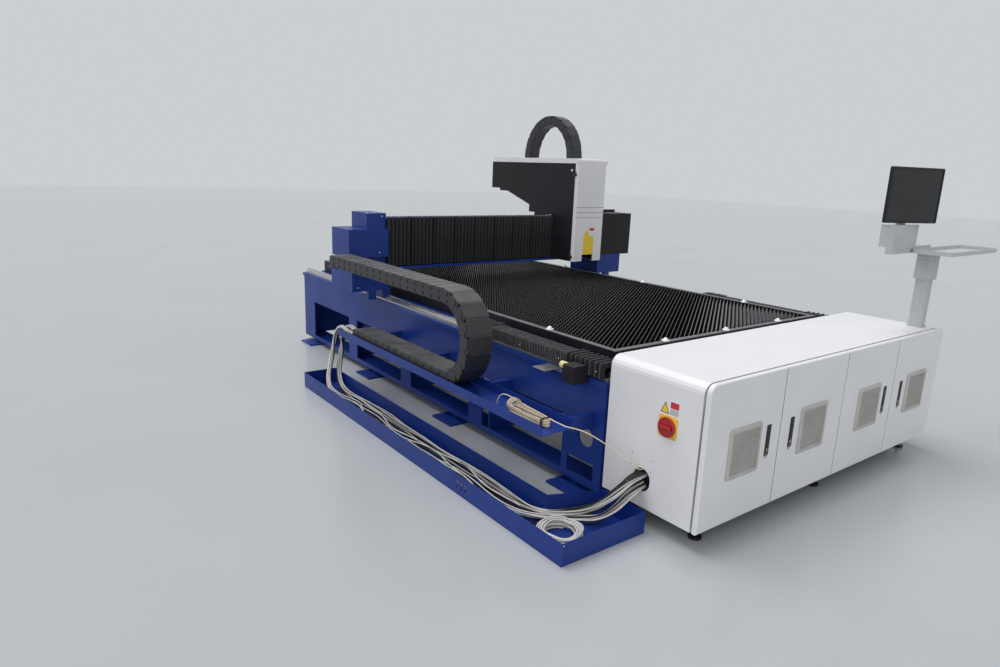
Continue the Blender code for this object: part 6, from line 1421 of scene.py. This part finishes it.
def even_points(points, count):
    """A given number of points at even steps along a smooth curve through the points."""
    fine = []
    ends = [points[0]] + list(points) + [points[-1]]
    for a, b, c, d in zip(ends, ends[1:], ends[2:], ends[3:]):
        for i in range(14):
            t = i / 14
            fine.append(0.5 * (2 * b + (c - a) * t + (2 * a - 5 * b + 4 * c - d) * t * t
                               + (3 * b - a - 3 * c + d) * t ** 3))
    fine.append(points[-1])
    low = min(point.z for point in points)
    for point in fine:
        point.z = max(point.z, low)
    lengths = lengths_along(fine)
    result = []
    k = 0
    for i in range(count):
        target = lengths[-1] * i / (count - 1)
        while k < len(fine) - 2 and lengths[k + 1] < target:
            k += 1
        share = (target - lengths[k]) / max(lengths[k + 1] - lengths[k], 1e-9)
        result.append(fine[k].lerp(fine[k + 1], min(1.0, share)))
    return result


def cable(name, points, diameter, material, resolution=4):
    """A cable as a smooth curve through its points, and its length."""
    curve = bpy.data.curves.new(name, "CURVE")
    curve.dimensions = "3D"
    curve.bevel_depth = diameter / 2
    curve.bevel_resolution = 2
    curve.resolution_u = resolution
    curve.use_fill_caps = True
    spline = curve.splines.new("BEZIER")
    spline.bezier_points.add(len(points) - 1)
    line = []
    for i, (knot, point) in enumerate(zip(spline.bezier_points, points)):
        before = points[max(0, i - 1)]
        after = points[min(len(points) - 1, i + 1)]
        knot.co = point
        knot.handle_left_type = knot.handle_right_type = "FREE"
        knot.handle_left = point - (after - before) / 6
        knot.handle_right = point + (after - before) / 6
        line.append((point, knot.handle_left.copy(), knot.handle_right.copy()))
    length = 0.0
    for (a, _, b), (d, c, _) in zip(line, line[1:]):
        last = a
        for i in range(1, 13):
            t = i / 12
            here = (a * (1 - t) ** 3 + b * 3 * t * (1 - t) ** 2 + c * 3 * t * t * (1 - t)
                    + d * t ** 3)
            length += (here - last).length
            last = here
    curve.materials.append(material)
    obj = bpy.data.objects.new(name, curve)
    bpy.context.scene.collection.objects.link(obj)
    return obj, length


def declare(obj, slot, nodes, start, length, diameter, **facts):
    """Let a cable ride on the machine and hide the solids that it stands for."""
    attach(obj, "machine")
    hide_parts(*nodes)


class CUTTER_OT_bundles(bpy.types.Operator):
    """Cables from the cabinet through the trough to the drag chain."""

    bl_idname = "cutter.bundles"
    bl_label = "Trough cables"

    def execute(self, context):
        sizes = context.scene.cutter_sizes
        black = even_points(bundle_route(BLACK_ROUTE_SHARES, 1, HOLE_Z + 0.027, 0.042),
                            BUNDLE_POINTS)
        grey = even_points(bundle_route(GREY_ROUTE_SHARES, -1, HOLE_Z - 0.027, 0.034),
                           BUNDLE_POINTS)
        # Layer, share across, wander and jacket of each strand
        blacks = ((0, -1.3, 0.2, "black"), (0, -0.65, 0.2, "black"), (0, 0.0, 0.2, "black"),
                  (0, 0.65, 0.2, "black"), (0, 1.3, 0.2, "black"), (1, -1.0, 0.6, "black"),
                  (1, -0.3, 0.7, "grey"), (1, 0.4, 0.6, "black"), (1, 1.0, 0.5, "white"),
                  (2, -0.7, 2.6, "white"), (2, 0.2, 0.9, "grey"), (2, 0.9, 1.0, "white"))
        greys = ((0, -1.3, 0.2, "black"), (0, -0.5, 0.2, "black"), (0, 0.3, 0.2, "white"),
                 (0, 1.1, 0.2, "black"), (1, -1.2, 0.5, "peach"), (1, -0.4, 0.7, "white"),
                 (1, 0.5, 0.8, "grey"), (2, -1.0, 0.9, "white"), (2, -0.1, 1.2, "peach"),
                 (2, 0.9, 1.6, "white"), (3, -0.3, 3.0, "white"), (3, 0.6, 3.4, "white"))
        for name, line, strands, diameter, radius in (
                ("black", black, blacks, sizes.black_cable, 0.021),
                ("grey", grey, greys, sizes.grey_cable, 0.017)):
            for k, (layer, across, wander, jacket) in enumerate(strands):
                points = self.strand(line, layer, across, wander, diameter, radius,
                                     k + len(name))
                obj, length = cable(f"cable_{name}_{k + 1}", points, diameter,
                                    finish("cable_" + jacket))
                slot = "cable_jacket" if jacket == "black" else "grey_cable_jacket"
                declare(obj, slot, [f"cable_bundle_{name}"], points[0], length, diameter,
                        far_end="object", stiffness="limp", lay="loose")
        return {"FINISHED"}

    def strand(self, line, layer, across, wander, diameter, radius, seed):
        """One cable's points beside the bundle's middle line."""
        chance = random.Random(seed)
        phase = chance.uniform(0, math.tau)
        stray = chance.uniform(-0.030, 0.030), chance.uniform(-0.020, 0.020)
        result = []
        last = len(line) - 1
        for i, middle in enumerate(line):
            way = (line[min(last, i + 1)] - line[max(0, i - 1)]).normalized()
            side = way.cross(Vector((0, 0, 1))).normalized()
            up = side.cross(way)
            free = min(1.0, max(0.0, (i - 6) / 5)) * min(1.0, max(0.0, (last - 9 - i) / 4))
            fan = max(0.0, 1 - i / 7) * 0.006
            spread = 0.0125 + fan + free * 0.024
            sway = free * wander * (0.013 * math.sin(math.tau * i / 12 + phase)
                                    + 0.004 * math.sin(math.tau * i / 5 + layer * 2.1))
            lift = -radius + diameter / 2 + layer * diameter * 1.06
            hump = free * 0.3 * diameter * layer * (1 + math.sin(math.tau * i / 9 + phase)) / 2
            twist = math.pi * max(0.0, 1 - i / 9) ** 1.5
            loose = math.sin(math.pi * min(1.0, i / 9))
            out = (across * spread * math.cos(twist) - lift * math.sin(twist) + sway
                   + loose * stray[0])
            rise = (lift * math.cos(twist) + across * spread * math.sin(twist) * 0.8 + hump
                    + loose * abs(stray[1]))
            point = middle + side * out + up * rise
            point.z = max(point.z, TROUGH_FLOOR + diameter / 2)
            result.append(point)
        return result


class CUTTER_OT_coil(bpy.types.Operator):
    """Coil of spare cable at the front of the trough."""

    bl_idname = "cutter.coil"
    bl_label = "Cable coil"

    def execute(self, context):
        diameter, layers, columns = COIL_CABLE, COIL_LAYERS, COIL_COLUMNS
        inner, step = 0.0780, 0.0135
        points = []
        for layer in range(layers):
            base = TROUGH_FLOOR + diameter / 2 + layer * diameter * 1.30
            for i in range(columns * COIL_TURN_POINTS):
                turn = i / COIL_TURN_POINTS
                share = turn / columns
                reach = inner + step * (turn if layer % 2 == 0 else columns - turn)
                climb = max(0.0, (share - 0.93) / 0.07) * diameter * 1.30
                if layer == layers - 1:
                    climb = 0.0
                angle = math.tau * turn + 0.6
                whole = turn + layer * columns
                lean = 0.10 * layer * diameter * math.cos(angle - 0.9)
                points.append(Vector((
                    COIL_CENTRE[0] + reach * math.cos(angle) + 0.0045 * math.sin(1.9 * whole),
                    COIL_CENTRE[1] + reach * math.sin(angle) * 0.97
                    + 0.0045 * math.cos(1.3 * whole),
                    base + climb + lean + 0.0016 * layer * math.sin(3 * angle + layer))))
        obj, length = cable("trough_cable_coil", points, diameter, finish("cable_white"), 3)
        declare(obj, "grey_cable_jacket", ["trough_coil"], points[0], length, diameter,
                far_end="bare", stiffness="limp", lay="coiled")
        return {"FINISHED"}


class CUTTER_OT_hank(bpy.types.Operator):
    """Hank of cream cable on the shelf, with its lead to the cabinet."""

    bl_idname = "cutter.hank"
    bl_label = "Cable hank"

    def execute(self, context):
        diameter = context.scene.cutter_sizes.cream_cable
        floor = SHELF_FLOOR + diameter / 2
        points = []
        for i in range(HANK_TURNS * HANK_TURN_POINTS + 3):
            turn = i / HANK_TURN_POINTS
            angle = math.tau * turn - math.pi / 2 + 0.7
            rear = (1 + math.sin(angle)) / 2
            loose = math.sin(2.4 * turn)
            wide = 0.017 + rear * (0.026 + 0.007 * loose)
            long = 0.160 + 0.010 * math.cos(1.7 * turn) * rear
            height = max(0.0, HANK_TURNS - turn) * diameter * 0.95
            stand = rear * rear * (0.022 + 0.016 * math.sin(1.9 * turn + 1.0))
            end = max(-1.0, min(1.0, 2.5 * math.sin(angle)))
            points.append(Vector((CHAIN_X + wide * math.cos(angle),
                                  HANK_Y + (long - wide) * end + wide * math.sin(angle),
                                  floor + height * (1 - 0.5 * rear) + stand)))
        middle = floor + 0.037
        for i in range(HANK_WRAPS * COIL_TURN_POINTS):
            share = i / COIL_TURN_POINTS
            angle = -math.tau * share
            points.append(Vector((CHAIN_X + 0.045 * math.cos(angle + 0.2),
                                  HANK_Y + 0.105 + 0.016 * share,
                                  middle + 0.037 * math.sin(angle + 0.2))))
        for across, along, up in HANK_END:
            points.append(Vector((CHAIN_X + across, HANK_Y + along, floor + up)))
        top = SHELF_FLOOR + 0.0225
        end = 0.56
        hole = HOLE_Z + 0.062 - diameter * 1.5
        lead = [Vector((CABINET_FACE + 0.018, HOLE_Y, hole))]
        for across, along, down in LEAD_ROUTE_SHARES[::-1]:
            lead.append(Vector((CHAIN_X + across * (CABINET_FACE - CHAIN_X),
                                end - along * (end - HOLE_Y), top - down * (top - hole))))
        lead = even_points(lead, LEAD_POINTS)
        lead, points = lead[:-1], even_points(lead[-1:] + points, HANK_POINTS)
        for _ in range(HANK_SMOOTHINGS):
            points[1:-1] = [(a + b * 2 + c) / 4
                            for a, b, c in zip(points, points[1:], points[2:])]
        tie = self.tie(points)
        points = lead + points
        obj, length = cable("shelf_cable_hank", points, diameter, finish("cable_cream"), 4)
        declare(obj, "cream_cable_jacket", ["shelf_hank", "shelf_lead"], points[0], length,
                diameter, far_end="bare", stiffness="limp", lay="coiled", with_pieces=[tie])
        return {"FINISHED"}

    def tie(self, points):
        """Black tie round the hank's front end."""
        y = HANK_Y - 0.128
        near = [point for point in points if abs(point.y - y) < 0.02]
        x0, x1 = min(p.x for p in near) - 0.004, max(p.x for p in near) + 0.004
        z0, z1 = min(p.z for p in near) - 0.0028, max(p.z for p in near) + 0.004
        outer = rounded(x0 - 0.002, x1 + 0.002, z0, z1 + 0.002, 0.010)
        inner = rounded(x0, x1, z0 + 0.0015, z1, 0.008)
        tie = solid_mesh("hank_tie", hoop([[(x, at, z) for x, z in outline] for outline, at in (
            (outer, y - 0.006), (outer, y + 0.006), (inner, y + 0.006), (inner, y - 0.006))]))
        return dress(tie, finish("black_plastic"), "machine", "black_plastic")


class CUTTER_PT_panel(bpy.types.Panel):
    """The machine's pieces in the 3D view's sidebar."""

    bl_label = "Laser cutting machine"
    bl_idname = "CUTTER_PT_panel"
    bl_space_type = "VIEW_3D"
    bl_region_type = "UI"
    bl_category = "Cutter"

    def draw(self, context):
        for group in (context.scene.cutter_sizes, context.scene.cutter_colours):
            box = self.layout.box()
            for name in group.__annotations__:
                box.prop(group, name)
        for step in STEPS:
            self.layout.operator(step.bl_idname)


STEPS = (CUTTER_OT_stage, CUTTER_OT_bundles, CUTTER_OT_coil, CUTTER_OT_hank, CUTTER_OT_solids,
         CUTTER_OT_slats, CUTTER_OT_border, CUTTER_OT_way_covers, CUTTER_OT_beam_covers,
         CUTTER_OT_side_chain, CUTTER_OT_head_chain, CUTTER_OT_filters, CUTTER_OT_handles,
         CUTTER_OT_switch, CUTTER_OT_head, CUTTER_OT_fasteners, CUTTER_OT_screen)
CLASSES = (CutterSizes, CutterColours, *STEPS, CUTTER_PT_panel)


def register():
    """Register the classes and the scene's settings."""
    for cls in CLASSES:
        bpy.utils.register_class(cls)
    bpy.types.Scene.cutter_sizes = PointerProperty(type=CutterSizes)
    bpy.types.Scene.cutter_colours = PointerProperty(type=CutterColours)


def unregister():
    """Take the classes and the settings away."""
    del bpy.types.Scene.cutter_colours
    del bpy.types.Scene.cutter_sizes
    for cls in reversed(CLASSES):
        bpy.utils.unregister_class(cls)


def main():
    """Register the classes and run every step in order."""
    register()
    for step in STEPS:
        area, name = step.bl_idname.split(".")
        getattr(getattr(bpy.ops, area), name)()


if __name__ == "__main__":
    main()
